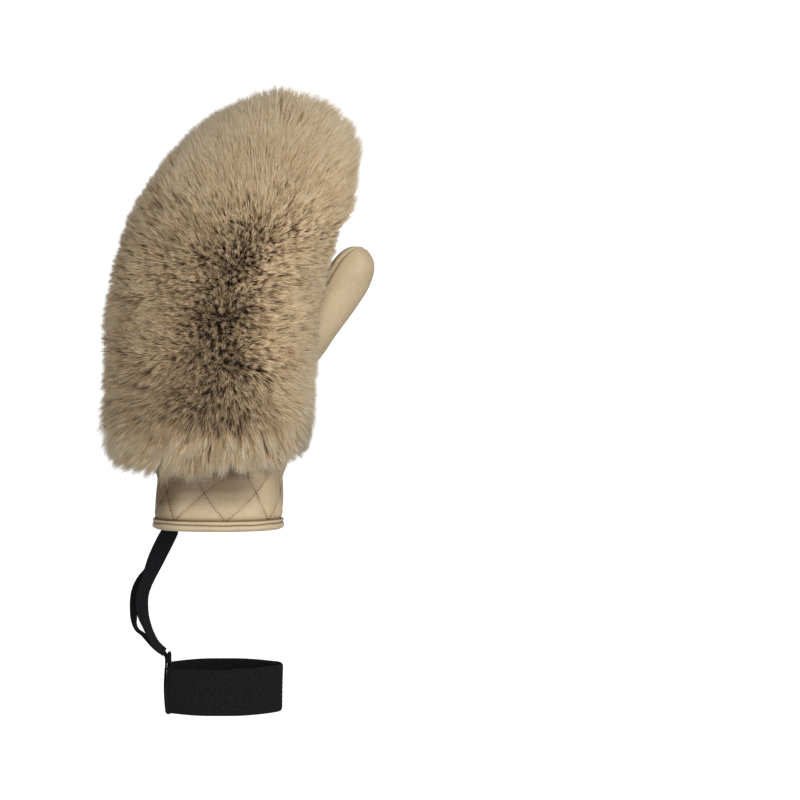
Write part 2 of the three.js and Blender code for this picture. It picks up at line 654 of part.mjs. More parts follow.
// A finished solid as a mesh with its own finish.
function piece(name, solid, finish) {
  const mesh = solid.getMesh();
  const count = mesh.numProp;
  const places = new Float32Array(mesh.numVert * 3);
  for (let i = 0; i < mesh.numVert; i++) places.set(mesh.vertProperties.subarray(i * count, i * count + 3), i * 3);
  const geometry = new THREE.BufferGeometry()
    .setAttribute("position", new THREE.BufferAttribute(places, 3))
    .setIndex(new THREE.BufferAttribute(mesh.triVerts, 1));
  geometry.computeVertexNormals();
  const made = new THREE.Mesh(geometry, finish);
  made.name = name;
  return made;
}

const leather = new THREE.MeshStandardMaterial({ color: 0xc3a985, roughness: 0.5, metalness: 0 });
const fur = new THREE.MeshStandardMaterial({ color: 0xa98e70, roughness: 0.9, metalness: 0 });
const webbing = new THREE.MeshStandardMaterial({ color: 0x18181a, roughness: 0.75, metalness: 0 });
const elastic = new THREE.MeshStandardMaterial({ color: 0x1e1e20, roughness: 0.8, metalness: 0 });

const mitten = new THREE.Group();
const palmPanel = handPanel(180, 360, 1).subtract(thumbHollow);
const backPanel = handPanel(0, 180, -1).subtract(thumbHollow);
mitten.add(piece("palm_panel", largest(palmPanel), leather));
mitten.add(piece("back_panel", largest(backPanel), leather));
mitten.add(piece("thumb_back", thumbPanel(-THUMB_SEAM_TURN, 180 - THUMB_SEAM_TURN), leather));
mitten.add(piece("thumb_front", thumbPanel(180 - THUMB_SEAM_TURN, 360 - THUMB_SEAM_TURN), leather));
mitten.add(piece("cuff", cuff(), leather));
mitten.add(piece("cuff_binding", cuffBinding(), leather));
mitten.add(piece("fur_back", furBack(), fur));
mitten.add(piece("leash_strap", leashStrap(), webbing));
mitten.add(piece("band_strap", bandStrap(), webbing));
mitten.add(piece("wrist_band", wristBand(), elastic));

export default mitten;
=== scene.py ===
"""The looks of a ski mitten: frosted fur over a leather hand, a quilted cuff, and a wrist band on a leash.

Blender 4.5, metres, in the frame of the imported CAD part: +Z to the finger tips, +X to the thumb
side, -Y to the back of the hand. The origin is the middle of the cuff's mouth.
"""

import math

import bmesh
import bpy
import numpy as np
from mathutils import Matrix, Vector
from mathutils.kdtree import KDTree


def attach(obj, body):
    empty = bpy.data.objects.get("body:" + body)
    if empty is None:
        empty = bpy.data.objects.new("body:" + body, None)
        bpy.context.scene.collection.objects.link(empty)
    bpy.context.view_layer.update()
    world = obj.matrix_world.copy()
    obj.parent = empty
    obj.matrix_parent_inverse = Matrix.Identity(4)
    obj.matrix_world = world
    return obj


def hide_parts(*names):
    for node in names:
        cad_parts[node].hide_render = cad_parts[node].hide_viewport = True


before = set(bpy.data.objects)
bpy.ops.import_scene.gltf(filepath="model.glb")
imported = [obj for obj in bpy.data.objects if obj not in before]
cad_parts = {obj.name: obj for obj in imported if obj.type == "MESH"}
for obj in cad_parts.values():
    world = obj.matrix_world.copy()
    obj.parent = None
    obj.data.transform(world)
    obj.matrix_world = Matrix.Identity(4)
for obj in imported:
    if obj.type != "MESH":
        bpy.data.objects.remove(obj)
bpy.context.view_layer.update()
MM = 0.001

# Sizes that the part's source gives too
GAP = 0.3 * MM
LEATHER = 2.2 * MM
HAND_LENGTH = 211 * MM
HAND_WIDTH = 113 * MM
HAND_DEPTH = 48 * MM
CUFF_HEIGHT = 61 * MM
CUFF_WIDTH = 83 * MM
CUFF_DEPTH = 58 * MM
CUFF_WALL = 3 * MM
CUFF_WAIST = 2.4 * MM
QUILT_COUNT = 8
QUILT_RISE = 1.8 * MM
QUILT_START = 84
QUILT_LEAN = 12
BINDING_HEIGHT = 6.6 * MM
BINDING_LEATHER = 1.4 * MM
THUMB_LENGTH = 116 * MM
THUMB_WIDTH = 28 * MM
THUMB_DEPTH = 27 * MM
THUMB_LEAN = 32
THUMB_SEAM_TURN = 40
WEBBING = 1.3 * MM
LEASH_WIDTH = 12.5 * MM
LEASH_DROP = 84 * MM
BAND_STRAP_WIDTH = 10 * MM
BAND_LENGTH = 77 * MM
BAND_DEPTH = 40 * MM
BAND_HEIGHT = 31 * MM
BAND_TILT = 4.5
BAND_DROP = 7.8 * MM
BAND_SIDE = 1.8 * MM
BAND_WALL = 1.9 * MM
SQUARENESS = 0.88

# Sizes of the look alone
QUILT_HEIGHT = 38 * MM  # the solid's diamonds are 35 mm high
PILE_HEIGHT = 16.5 * MM  # shell to the tips
PILE_ROOT = 5.0 * MM  # shell to the dense under-fur
PILE_SWEEP = 12 * MM  # how far combed tips lean over
FRINGE_SWEEP = 23 * MM  # the same at the hem
CURVED_STRANDS = 46000
STRAIGHT_STRANDS = 84000
STRAND_RADIUS = 0.23 * MM
TUFTS = 9500
FRINGE_TUFTS = 1900
STITCH_PITCH = 2.0 * MM
STITCH_RADIUS = 0.31 * MM
SIDE_SEAM = 30  # degrees round the cuff
STRAP_GAP = 0.15 * MM  # between the band and the strap round it; the solid's strap keeps 0.4 mm
STRAP_BOW = 0.9 * MM  # how far the strap and the band's wall bow out together

# left_x, left_z, right_x, right_z, back, palm, curl: the hand's sections from wrist to tip
HAND_SECTIONS = np.array([
    (-0.5, 0.0, 0.43, 0.0, 0.5, 0.5, 0.0),
    (-0.53, 0.105, 0.45, 0.1, 0.51, 0.49, 0.0),
    (-0.545, 0.24, 0.46, 0.225, 0.53, 0.47, 0.0),
    (-0.545, 0.375, 0.475, 0.345, 0.53, 0.45, 0.01),
    (-0.518, 0.51, 0.508, 0.46, 0.51, 0.43, 0.03),
    (-0.452, 0.632, 0.57, 0.562, 0.48, 0.42, 0.06),
    (-0.345, 0.742, 0.632, 0.65, 0.45, 0.4, 0.1),
    (-0.203, 0.84, 0.681, 0.737, 0.41, 0.37, 0.15),
    (-0.044, 0.918, 0.697, 0.822, 0.35, 0.32, 0.2),
    (0.124, 0.97, 0.663, 0.9, 0.26, 0.25, 0.24),
    (0.265, 0.995, 0.573, 0.958, 0.145, 0.145, 0.27),
    (0.42, 0.992, 0.42, 0.992, 0.0, 0.0, 0.28),
])

# along, left, right, depth: the thumb's sections from root to tip
THUMB_SECTIONS = np.array([
    (0.0, -0.7, 0.3, 0.56),
    (0.28, -0.62, 0.42, 0.54),
    (0.48, -0.54, 0.48, 0.51),
    (0.66, -0.5, 0.53, 0.49),
    (0.785, -0.51, 0.545, 0.47),
    (0.875, -0.5, 0.5, 0.43),
    (0.94, -0.42, 0.4, 0.35),
    (0.982, -0.26, 0.23, 0.2),
    (1.0, -0.03, -0.03, 0.0),
])
THUMB_ROOT = np.array([0.318 * HAND_WIDTH, 0.12 * HAND_DEPTH, 0.117 * HAND_LENGTH + CUFF_HEIGHT])

# drop, side, back, turn: the leash below the hem. The first row lies 0.9 mm further left than
# the solid's and is turned 14 degrees less
LEASH_ROUTE = np.array([
    (0.045, -0.17, 0.0, -28),
    (0.13, -0.47, 0.02, -22),
    (0.255, -0.88, 0.02, -28),
    (0.39, -1.26, -0.02, -46),
    (0.47, -1.48, -0.06, -51),
    (0.55, -1.63, -0.1, -52),
    (0.63, -1.65, -0.12, -53),
    (0.71, -1.57, -0.12, -59),
    (0.78, -1.41, -0.1, -67),
    (0.845, -1.24, -0.08, -71),
    (0.92, -1.0, -0.04, -71),
    (0.965, -0.74, -0.02, -72),
    (1.0, -0.47, 0.0, -72),
])
LEASH_SEAT = 210
LEASH_INSIDE = 24 * MM

# drop, off, behind, turn: the slack of the band's strap beside the leash
SLACK_ROUTE = np.array([
    (0.32, -0.02, 0.16, -34),
    (0.375, 0.14, 0.24, -44),
    (0.43, 0.34, 0.36, -54),
    (0.495, 0.43, 0.42, -60),
    (0.57, 0.45, 0.42, -64),
    (0.65, 0.48, 0.42, -65),
    (0.725, 0.57, 0.42, -69),
    (0.78, 0.67, 0.4, -79),
    (0.815, 0.66, 0.36, -84),
    (0.84, 0.57, 0.3, -85),
    (0.86, 0.43, 0.26, -84),
    (0.917, 0.23, 0.19, -77),
    (0.964, 0.17, 0.2, -74),
    (0.995, 0.15, 0.24, -74),
])

# along, reach: the wrist band from above
BAND_OUTLINE = np.array([
    (0.0, 0.0),
    (0.0, 0.36),
    (0.045, 0.56),
    (0.18, 0.84),
    (0.36, 1.0),
    (0.58, 0.98),
    (0.78, 0.76),
    (0.92, 0.44),
    (0.985, 0.2),
    (1.0, 0.0),
])

# The parting of the pile: height and place across, and how strongly it shows dark there
PARTING = np.array([
    (40, 8, 0.35),
    (65, 8, 0.75),
    (98, 4.6, 1.0),
    (125, 3, 1.0),
    (150, 4.6, 0.95),
    (175, 9, 0.8),
    (197, 17, 0.55),
    (212, 27, 0.15),
    (240, 34, 0.0),
])

# The lower edge of the fringe: place across and height
FRINGE_LINE = np.array([
    (-82, 62),
    (-77, 54),
    (-73, 49),
    (-66, 43),
    (-52, 38),
    (-46, 37),
    (-36, 34.5),
    (-15, 34.8),
    (0, 36),
    (18, 38),
    (30, 40.5),
    (38, 41),
    (42, 41),
    (46, 43.5),
    (53, 48),
    (59, 55),
    (63, 63),
    (70, 78),
])

# How far the pile is pressed in on the far side and on the thumb side, by height
PRESSED = np.array([
    (50, -1.5, 3.0),
    (58, -3.6, 3.2),
    (66, -3.4, 1.0),
    (82, -1.3, 2.0),
    (94, 0.8, 1.8),
    (106, 1.8, 0.8),
    (129, 1.9, 1.0),
    (145, 2.2, 1.0),
    (160, 4.4, 2.0),
    (180, 5.2, 5.0),
    (198, 5.0, 7.5),
    (204, 4.8, 5.0),
    (210, 4.8, 2.6),
    (222, 4.8, 2.4),
    (240, 5.0, 1.4),
    (257, 3.4, -4.5),
    (273, 1.5, -5.5),
    (286, 0.0, -2.0),
])


# Camera, stage and lights
CENTRE_X = 0.1201
CENTRE_Z = 0.0849
FIELD = 0.528  # width of the view at the mitten
DISTANCE = 3.0
ELEVATION = 3.8
SENSOR = 36  # millimetres
FLOOR = -0.34  # height of the floor, below the band


def make_camera():
    camera = bpy.data.objects.new("camera", bpy.data.cameras.new("camera"))
    bpy.context.scene.collection.objects.link(camera)
    tilt = math.radians(ELEVATION)
    back = Vector((0, -math.cos(tilt), math.sin(tilt)))
    camera.location = Vector((CENTRE_X, 0, CENTRE_Z)) + back * DISTANCE
    camera.rotation_euler = (math.radians(90 - ELEVATION), 0, 0)
    camera.data.sensor_width = SENSOR
    camera.data.lens = SENSOR * DISTANCE / FIELD
    camera.data.clip_start = 0.1
    camera.data.clip_end = 50
    bpy.context.scene.camera = camera


def make_stage():
    """A pale floor that curves up into a backdrop, a white sky and four soft lamps."""
    bend = np.linspace(0.1, 1.57, 12)
    depths = np.concatenate([np.linspace(-6, 3.2, 14), 3.2 + 1.2 * np.sin(bend), [4.4]])
    heights = np.concatenate([np.zeros(14), 1.2 - 1.2 * np.cos(bend), [6]]) + FLOOR
    points = [(x, y, z) for y, z in zip(depths, heights) for x in (-7, 7)]
    quads = [(2 * i, 2 * i + 1, 2 * i + 3, 2 * i + 2) for i in range(len(depths) - 1)]
    floor = build("floor", np.array(points), np.array(quads))
    floor.data.materials.append(pale_material())
    floor.visible_diffuse = False
    floor.visible_glossy = False
    floor.visible_shadow = False
    world = bpy.data.worlds.new("sky")
    world.use_nodes = True
    world.node_tree.nodes["Background"].inputs["Color"].default_value = (1, 1, 1, 1)
    world.node_tree.nodes["Background"].inputs["Strength"].default_value = 0.36
    bpy.context.scene.world = world
    lamps = {
        "key": ((1.5, -2.0, 0.9), 1.2, 32.5),
        "low": ((1.3, -2.2, -0.5), 1.2, 8.5),
        "fill": ((-1.0, -2.4, -0.45), 1.5, 21.5),
        "top": ((0.2, -0.4, 2.0), 1.2, 5),
    }
    for name, (place, size, power) in lamps.items():
        lamp = bpy.data.objects.new(name, bpy.data.lights.new(name, "AREA"))
        lamp.data.size = size
        lamp.data.energy = power
        lamp.location = place
        lamp.rotation_euler = (Vector((0, 0, 0.1)) - Vector(place)).to_track_quat("-Z", "Y").to_euler()
        bpy.context.scene.collection.objects.link(lamp)
    bpy.context.scene.view_settings.view_transform = "Standard"


# Meshes from arrays
def build(name, points, quads=(), triangles=(), material=None):
    quads = np.asarray(quads, int).reshape(-1, 4)
    triangles = np.asarray(triangles, int).reshape(-1, 3)
    corners = np.concatenate([quads.ravel(), triangles.ravel()])
    starts = np.concatenate([4 * np.arange(len(quads)), 4 * len(quads) + 3 * np.arange(len(triangles))])
    mesh = bpy.data.meshes.new(name)
    mesh.vertices.add(len(points))
    mesh.vertices.foreach_set("co", np.asarray(points, np.float32).ravel())
    mesh.loops.add(len(corners))
    mesh.loops.foreach_set("vertex_index", corners.astype(np.int32))
    mesh.polygons.add(len(starts))
    mesh.polygons.foreach_set("loop_start", starts.astype(np.int32))
    mesh.update(calc_edges=True)
    mesh.shade_smooth()
    if material:
        mesh.materials.append(material)
    made = bpy.data.objects.new(name, mesh)
    bpy.context.scene.collection.objects.link(made)
    return made


def store(made, name, values):
    """Stores a colour or a vector for every vertex."""
    values = np.asarray(values, np.float32)
    kind = "FLOAT_COLOR" if values.shape[1] == 4 else "FLOAT_VECTOR"
    attribute = made.data.attributes.new(name, kind, "POINT")
    attribute.data.foreach_set("color" if kind == "FLOAT_COLOR" else "vector", values.ravel())


def grid_quads(rows, columns, wrapped, first=0):
    """Quads of a grid of points; wrapped joins its last column to its first."""
    j, i = np.meshgrid(np.arange(rows - 1), np.arange(columns if wrapped else columns - 1), indexing="ij")
    k = (i + 1) % columns
    corners = [j * columns + i, j * columns + k, (j + 1) * columns + k, (j + 1) * columns + i]
    return first + np.stack(corners, -1).reshape(-1, 4)


def ring_quads(rows, columns):
    """Quads of a grid of points that closes on itself both ways."""
    i = np.arange(columns)
    k = (i + 1) % columns
    last = (rows - 1) * columns
    joint = np.stack([last + i, last + k, k, i], 1)
    return np.concatenate([grid_quads(rows, columns, True), joint])


def end_fans(rows, columns):
    """Triangles that close the two ends of a wrapped grid, on two middle points that follow it."""
    i = np.arange(columns)
    k = (i + 1) % columns
    last = (rows - 1) * columns
    low = np.stack([np.full(columns, rows * columns), k, i], 1)
    high = np.stack([np.full(columns, rows * columns + 1), last + i, last + k], 1)
    return low, high


def shell(outer, inner, wrapped=False):
    """Points and quads of a wall between two grids of points, its rims closed."""
    rows, columns = outer.shape[:2]
    count = rows * columns
    ends = columns if wrapped else columns - 1
    quads = [grid_quads(rows, columns, wrapped), grid_quads(rows, columns, wrapped, count)[:, ::-1]]
    i = np.arange(ends)
    k = (i + 1) % columns
    for row, flip in ((0, True), (rows - 1, False)):
        start = row * columns
        rim = np.stack([start + i, start + k, count + start + k, count + start + i], -1)
        quads.append(rim[:, ::-1] if flip else rim)
    if not wrapped:
        j = np.arange(rows - 1)
        for column, flip in ((0, False), (columns - 1, True)):
            rim = np.stack([j * columns + column, (j + 1) * columns + column], -1)
            rim = np.concatenate([rim, rim[:, ::-1] + count], 1)
            quads.append(rim[:, ::-1] if flip else rim)
    return np.concatenate([outer.reshape(-1, 3), inner.reshape(-1, 3)]), np.concatenate(quads)


def tidy(made, distance=0.02 * MM):
    """Merges corners that meet, and faces the mesh outwards."""
    work = bmesh.new()
    work.from_mesh(made.data)
    bmesh.ops.remove_doubles(work, verts=work.verts, dist=distance)
    bmesh.ops.recalc_face_normals(work, faces=work.faces)
    work.to_mesh(made.data)
    work.free()
    made.data.shade_smooth()
    return made


def cut(made, cutter):
    """Takes the cutter's inside out of a piece."""
    modifier = made.modifiers.new("cut", "BOOLEAN")
    modifier.object = cutter
    modifier.operation = "DIFFERENCE"
    modifier.solver = "EXACT"
    bpy.context.view_layer.update()
    shaped = bpy.data.meshes.new_from_object(made.evaluated_get(bpy.context.evaluated_depsgraph_get()))
    made.modifiers.clear()
    made.data = shaped
    made.data.shade_smooth()


def finish_piece(made, slot, *nodes):
    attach(made, "root")
    if nodes:
        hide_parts(*nodes)


# Surfaces
def smooth(x, low, high):
    t = np.clip((np.asarray(x, float) - low) / (high - low), 0, 1)
    return t * t * (3 - 2 * t)


def mix(a, b, share):
    return a + (b - a) * share


def unit(vectors):
    return vectors / np.maximum(np.linalg.norm(vectors, axis=-1, keepdims=True), 1e-12)


def bell(distance, width):
    """1 at no distance, fading to almost nothing over twice the width."""
    return np.exp(-((distance / width) ** 2))


def run_along(line):
    """How far along a line each of its points lies."""
    steps = np.linalg.norm(np.diff(line, axis=0), axis=1)
    return np.concatenate([[0], np.cumsum(steps)])


def at_lengths(line, run, where):
    """Places at lengths along a line, whose own points lie at the lengths in run."""
    return np.stack([np.interp(where, run, column) for column in line.T], 1)


def sample(rows, t):
    """Catmull-Rom through the rows of a table at row numbers t; the last axis holds the columns."""
    t = np.asarray(t, float)
    i = np.clip(np.floor(t).astype(int), 0, len(rows) - 2)
    f = (t - i)[..., None]
    b = rows[i]
    c = rows[i + 1]
    a = np.where((i > 0)[..., None], rows[np.maximum(i - 1, 0)], 2 * b - c)
    d = np.where((i + 2 < len(rows))[..., None], rows[np.minimum(i + 2, len(rows) - 1)], 2 * c - b)
    return b + 0.5 * f * (c - a + f * (2 * a - 5 * b + 4 * c - d + f * (3 * (b - c) + d - a)))


def fuller(x):
    return np.sign(x) * np.abs(x) ** SQUARENESS


before_tip = HAND_SECTIONS[-2]
HAND_TABLE = np.vstack([HAND_SECTIONS, before_tip[[2, 3, 0, 1, 4, 5, 6]] * [1, 1, 1, 1, -1, -1, 1]])
before_tip = THUMB_SECTIONS[-2]
THUMB_TABLE = np.vstack([THUMB_SECTIONS, before_tip[[0, 2, 1, 3]] * [1, 1, 1, -1]])


def hand_point(v, degrees):
    """v from 0 at the wrist to 1 at the tip; degrees from the thumb side over the back of the hand."""
    v, degrees = np.broadcast_arrays(v, degrees)
    rows = sample(HAND_TABLE, v * (len(HAND_SECTIONS) - 1))
    left_x, left_z, right_x, right_z, back, palm, curl = np.moveaxis(rows, -1, 0)
    across = fuller(np.cos(np.radians(degrees)))
    deep = fuller(np.sin(np.radians(degrees)))
    x = ((left_x + right_x) / 2 + (right_x - left_x) / 2 * across) * HAND_WIDTH
    z = ((left_z + right_z) / 2 + (right_z - left_z) / 2 * across) * HAND_LENGTH
    y = (curl - deep * np.where(deep > 0, back, palm)) * HAND_DEPTH
    return np.stack([x, y, z + CUFF_HEIGHT + GAP / 2], -1)


lean = math.radians(THUMB_LEAN)
LEAN_ALONG = np.array([math.sin(lean), 0, math.cos(lean)])
LEAN_ACROSS = np.array([math.cos(lean), 0, -math.sin(lean)])
SIDEWAYS = np.array([0, 1, 0])


def thumb_point(v, degrees):
    v, degrees = np.broadcast_arrays(v, degrees)
    along, left, right, depth = np.moveaxis(sample(THUMB_TABLE, v * (len(THUMB_SECTIONS) - 1)), -1, 0)
    across = (left + right) / 2 + (right - left) / 2 * np.cos(np.radians(degrees))
    return (
        THUMB_ROOT
        + (along * THUMB_LENGTH)[..., None] * LEAN_ALONG
        + (across * THUMB_WIDTH)[..., None] * LEAN_ACROSS
        - (np.sin(np.radians(degrees)) * depth * THUMB_DEPTH)[..., None] * SIDEWAYS
    )


def normal_of(point, v, degrees):
    step = 1e-3
    v, degrees = np.broadcast_arrays(v, degrees)
    low = np.minimum(v - step, 1 - 3 * step)
    up = point(low + 2 * step, degrees) - point(low, degrees)
    at = np.minimum(v, 1 - step)
    around = point(at, degrees + 1) - point(at, degrees - 1)
    return unit(np.cross(up, around))


def offset(point, v, degrees, by):
    by = np.asarray(by)
    return point(v, degrees) + normal_of(point, v, degrees) * (by[..., None] if by.ndim else by)


def cuff_point(h, degrees, out=0.0):
    """h from 0 at the hem to 1 at the wrist seam."""
    h, degrees, out = np.broadcast_arrays(h, degrees, out)
    left_x, _, right_x, _, back, palm, _ = HAND_SECTIONS[0]
    flare = smooth(h, 0.52, 1)
    waist = CUFF_WAIST / 2 * smooth(h, 0.1, 0.5) * (1 - flare)
    half = mix(CUFF_WIDTH / 2, (right_x - left_x) / 2 * HAND_WIDTH, flare) - waist
    middle = flare * (left_x + right_x) / 2 * HAND_WIDTH + waist
    sine = np.sin(np.radians(degrees))
    depth = mix(CUFF_DEPTH / 2, np.where(sine > 0, back, palm) * HAND_DEPTH, flare)
    x = middle + fuller(np.cos(np.radians(degrees))) * (half + out)
    return np.stack([x, -fuller(sine) * (depth + out), h * CUFF_HEIGHT], -1)


def waves(points, scale, seed):
    """Smooth noise from a few sine waves, from -1 to 1."""
    rng = np.random.default_rng(seed)
    total = np.zeros(points.shape[:-1])
    for _ in range(6):
        direction = unit(rng.normal(size=3))
        pace = rng.uniform(0.6, 1.6)
        total += np.sin(points @ direction * pace * 2 * math.pi / scale + rng.uniform(0, 6.3))
    return total / 6


# Materials
def colour(red, green, blue):
    """A linear colour from the 0 to 255 values of a screen."""
    screen = (red, green, blue)
    return tuple(((c / 255 + 0.055) / 1.055) ** 2.4 if c > 10 else c / 255 / 12.92 for c in screen) + (1,)


class Nodes:
    """A material's node tree, with short ways to add to it."""

    def __init__(self, name):
        self.material = bpy.data.materials.new(name)
        self.material.use_nodes = True
        self.tree = self.material.node_tree
        self.shader = self.tree.nodes["Principled BSDF"]

    def add(self, kind, settings=None, **sockets):
        node = self.tree.nodes.new(kind)
        for key, value in (settings or {}).items():
            setattr(node, key, value)
        for key, value in sockets.items():
            self.put(node.inputs[key.replace("_", " ")], value)
        return node

    def put(self, socket, value):
        if isinstance(value, bpy.types.NodeSocket):
            self.tree.links.new(value, socket)
        else:
            socket.default_value = value

    def set(self, **sockets):
        for key, value in sockets.items():
            self.put(self.shader.inputs[key.replace("_", " ")], value)

    def maths(self, operation, a, b=0.0, c=0.0):
        node = self.add("ShaderNodeMath", {"operation": operation})
        for socket, value in zip(node.inputs, (a, b, c)):
            self.put(socket, value)
        return node.outputs[0]

    def blend(self, share, a, b, kind="MIX"):
        node = self.add("ShaderNodeMix", {"data_type": "RGBA", "blend_type": kind})
        self.put(node.inputs[0], share)
        self.put(node.inputs[6], a)
        self.put(node.inputs[7], b)
        return node.outputs[2]

    def ramp(self, value, stops):
        node = self.add("ShaderNodeValToRGB", Fac=value)
        elements = node.color_ramp.elements
        while len(elements) < len(stops):
            elements.new(0.5)
        for element, (place, shade) in zip(elements, stops):
            element.position = place
            element.color = shade
        return node.outputs["Color"]

    def noise(self, scale, detail):
        node = self.add("ShaderNodeTexNoise", Scale=scale, Detail=detail)
        self.put(node.inputs["Vector"], self.place())
        return node.outputs["Fac"]

    def place(self):
        return self.add("ShaderNodeTexCoord").outputs["Object"]

    def attribute(self, name):
        return self.add("ShaderNodeAttribute", {"attribute_name": name})

    def bump(self, height, distance, strength, under=None):
        node = self.add("ShaderNodeBump", Height=height, Distance=distance, Strength=strength)
        if under:
            self.put(node.inputs["Normal"], under)
        return node.outputs["Normal"]


def pale_material():
    made = Nodes("pale")
    made.set(Base_Color=(0.93, 0.93, 0.93, 1), Roughness=0.9)
    made.set(Emission_Color=(1, 1, 1, 1), Emission_Strength=0.8)
    return made.material


def leather_material(name, shade, grain=1.0, with_painted_shade=False):
    """Soft beige leather: fine grain, faint cloudy tone and an uneven sheen.

    With painted shade, it is darkened by its stored crease colour: red paints shade in the seams' grooves,
    green paints the shade under the fringe and on the cuff's far side.
    """
    made = Nodes(name)
    cloud = made.noise(28, 3)
    fine = made.noise(260, 2)
    darker = tuple(c * 0.92 for c in shade[:3]) + (1,)
    lighter = tuple(min(c * 1.08, 1) for c in shade[:3]) + (1,)
    base = made.ramp(cloud, [(0.3, darker), (0.5, shade), (0.72, lighter)])
    speck = made.ramp(fine, [(0.35, (0.93, 0.93, 0.93, 1)), (0.6, (1, 1, 1, 1))])
    base = made.blend(1.0, base, speck, "MULTIPLY")
    if with_painted_shade:
        # Painted shade from the stored crease colour: red in the grooves, green under the fringe and on the
        # far side.
        parts = made.add("ShaderNodeSeparateColor", Color=made.attribute("crease").outputs["Color"])
        for channel, dim in (("Red", (0.4, 0.33, 0.26)), ("Green", (0.25, 0.21, 0.17))):
            deep = tuple(c * share for c, share in zip(shade, dim)) + (1,)
            base = made.blend(parts.outputs[channel], base, deep)
    cells = made.add("ShaderNodeTexVoronoi", {"feature": "DISTANCE_TO_EDGE"}, Scale=950.0)
    made.put(cells.inputs["Vector"], made.place())
    pores = made.ramp(cells.outputs["Distance"], [(0.0, (0, 0, 0, 1)), (0.22, (1, 1, 1, 1))])
    normal = made.bump(pores, 0.00008 * grain, 0.55)
    normal = made.bump(made.noise(420, 3), 0.00012 * grain, 0.6, normal)
    rough = made.ramp(made.noise(60, 3), [(0.3, (0.4, 0.4, 0.4, 1)), (0.7, (0.54, 0.54, 0.54, 1))])
    made.set(Base_Color=base, Roughness=rough, Normal=normal)
    made.set(Specular_IOR_Level=0.42, Sheen_Weight=0.08, Sheen_Roughness=0.4)
    return made.material


def strand_material():
    """Frosted pile: dark roots, pale tips, and a tone of its own for each strand."""
    made = Nodes("frosted_fur")
    parts = made.add("ShaderNodeSeparateColor", Color=made.attribute("strand").outputs["Color"])
    along, tone, dark = (parts.outputs[name] for name in ("Red", "Green", "Blue"))
    # The stored darkness includes painted shade on the far side and painted light low on the thumb side and
    # in the fringe.
    dark = made.maths("MULTIPLY_ADD", dark, 2.0, -1.0)
    dark = made.maths("MULTIPLY", dark, made.maths("MULTIPLY_ADD", along, 0.2, -0.36))
    shifted = made.maths("ADD", dark, along)
    shifted = made.maths("MULTIPLY_ADD", made.maths("SUBTRACT", tone, 0.5), 0.52, shifted)
    clumps = made.maths("SUBTRACT", made.noise(70, 3), 0.5)
    shifted = made.maths("MULTIPLY_ADD", clumps, 0.4, shifted)
    base = made.ramp(shifted, [
        (0.0, colour(50, 34, 25)),
        (0.22, colour(98, 74, 54)),
        (0.42, colour(182, 150, 112)),
        (0.6, colour(230, 200, 156)),
        (0.8, colour(249, 224, 183)),
        (1.0, colour(255, 242, 213)),
    ])
    broad = made.ramp(made.noise(16, 2), [(0.3, (0.93, 0.92, 0.91, 1)), (0.7, (1, 1, 1, 1))])
    made.set(Base_Color=made.blend(1.0, base, broad, "MULTIPLY"), Roughness=0.62)
    made.set(Specular_IOR_Level=0.25, Sheen_Weight=0.2, Sheen_Roughness=0.5)
    return made.material


def under_material():
    """The dense wool at the strands' roots."""
    made = Nodes("under_fur")
    parts = made.add("ShaderNodeSeparateColor", Color=made.attribute("strand").outputs["Color"])
    fuzz = made.noise(900, 4)
    # The stored darkness paints shade on the far side and light in the fringe here too.
    shade = made.maths("SUBTRACT", fuzz, made.maths("MULTIPLY", parts.outputs["Blue"], 0.3))
    stops = [(0.15, colour(58, 43, 34)), (0.45, colour(112, 88, 68)), (0.75, colour(160, 134, 106))]
    made.set(Base_Color=made.ramp(shade, stops), Roughness=0.9, Normal=made.bump(fuzz, 0.0008, 0.9))
    made.set(Specular_IOR_Level=0.1)
    return made.material


def thread_material(name, shade):
    made = Nodes(name)
    twist = made.noise(1800, 2)
    dim = tuple(c * 0.6 for c in shade[:3]) + (1,)
    made.set(Base_Color=made.ramp(twist, [(0.35, dim), (0.65, shade)]), Roughness=0.6)
    return made.material


def woven_material(name, shade, across, along, twill=0.0):
    """Black tape or elastic: ribs along and across it, from its stored place in millimetres."""
    made = Nodes(name)
    where = made.attribute("weave").outputs["Vector"]
    parts = made.add("ShaderNodeSeparateXYZ", Vector=where)
    slanted = made.maths("MULTIPLY_ADD", parts.outputs["Y"], twill, parts.outputs["X"])
    ribs = made.maths("SINE", made.maths("MULTIPLY", slanted, 2 * math.pi / across))
    picks = made.maths("SINE", made.maths("MULTIPLY", parts.outputs["Y"], 2 * math.pi / along))
    weave = made.maths("MULTIPLY_ADD", made.maths("MULTIPLY", ribs, picks), 0.5, 0.5)
    weave = made.maths("MULTIPLY_ADD", ribs, 0.3, weave)
    dim = tuple(c * 0.12 for c in shade[:3]) + (1,)
    bright = tuple(c * 4.0 for c in shade[:3]) + (1,)
    lint = made.noise(700, 4)
    mixed = made.maths("MULTIPLY_ADD", lint, 0.55, made.maths("MULTIPLY", weave, 0.5))
    base = made.ramp(mixed, [(0.3, dim), (0.52, shade), (0.8, bright)])
    made.set(Base_Color=base, Roughness=0.72, Normal=made.bump(weave, 0.0003, 0.9))
    made.set(Specular_IOR_Level=0.11, Sheen_Weight=0.02, Sheen_Roughness=0.5)
    return made.material


# The fur
def parting_at(z):
    place = np.interp(z / MM, PARTING[:, 0], PARTING[:, 1]) * MM
    dark = np.interp(z / MM, PARTING[:, 0], PARTING[:, 2])
    return place, dark


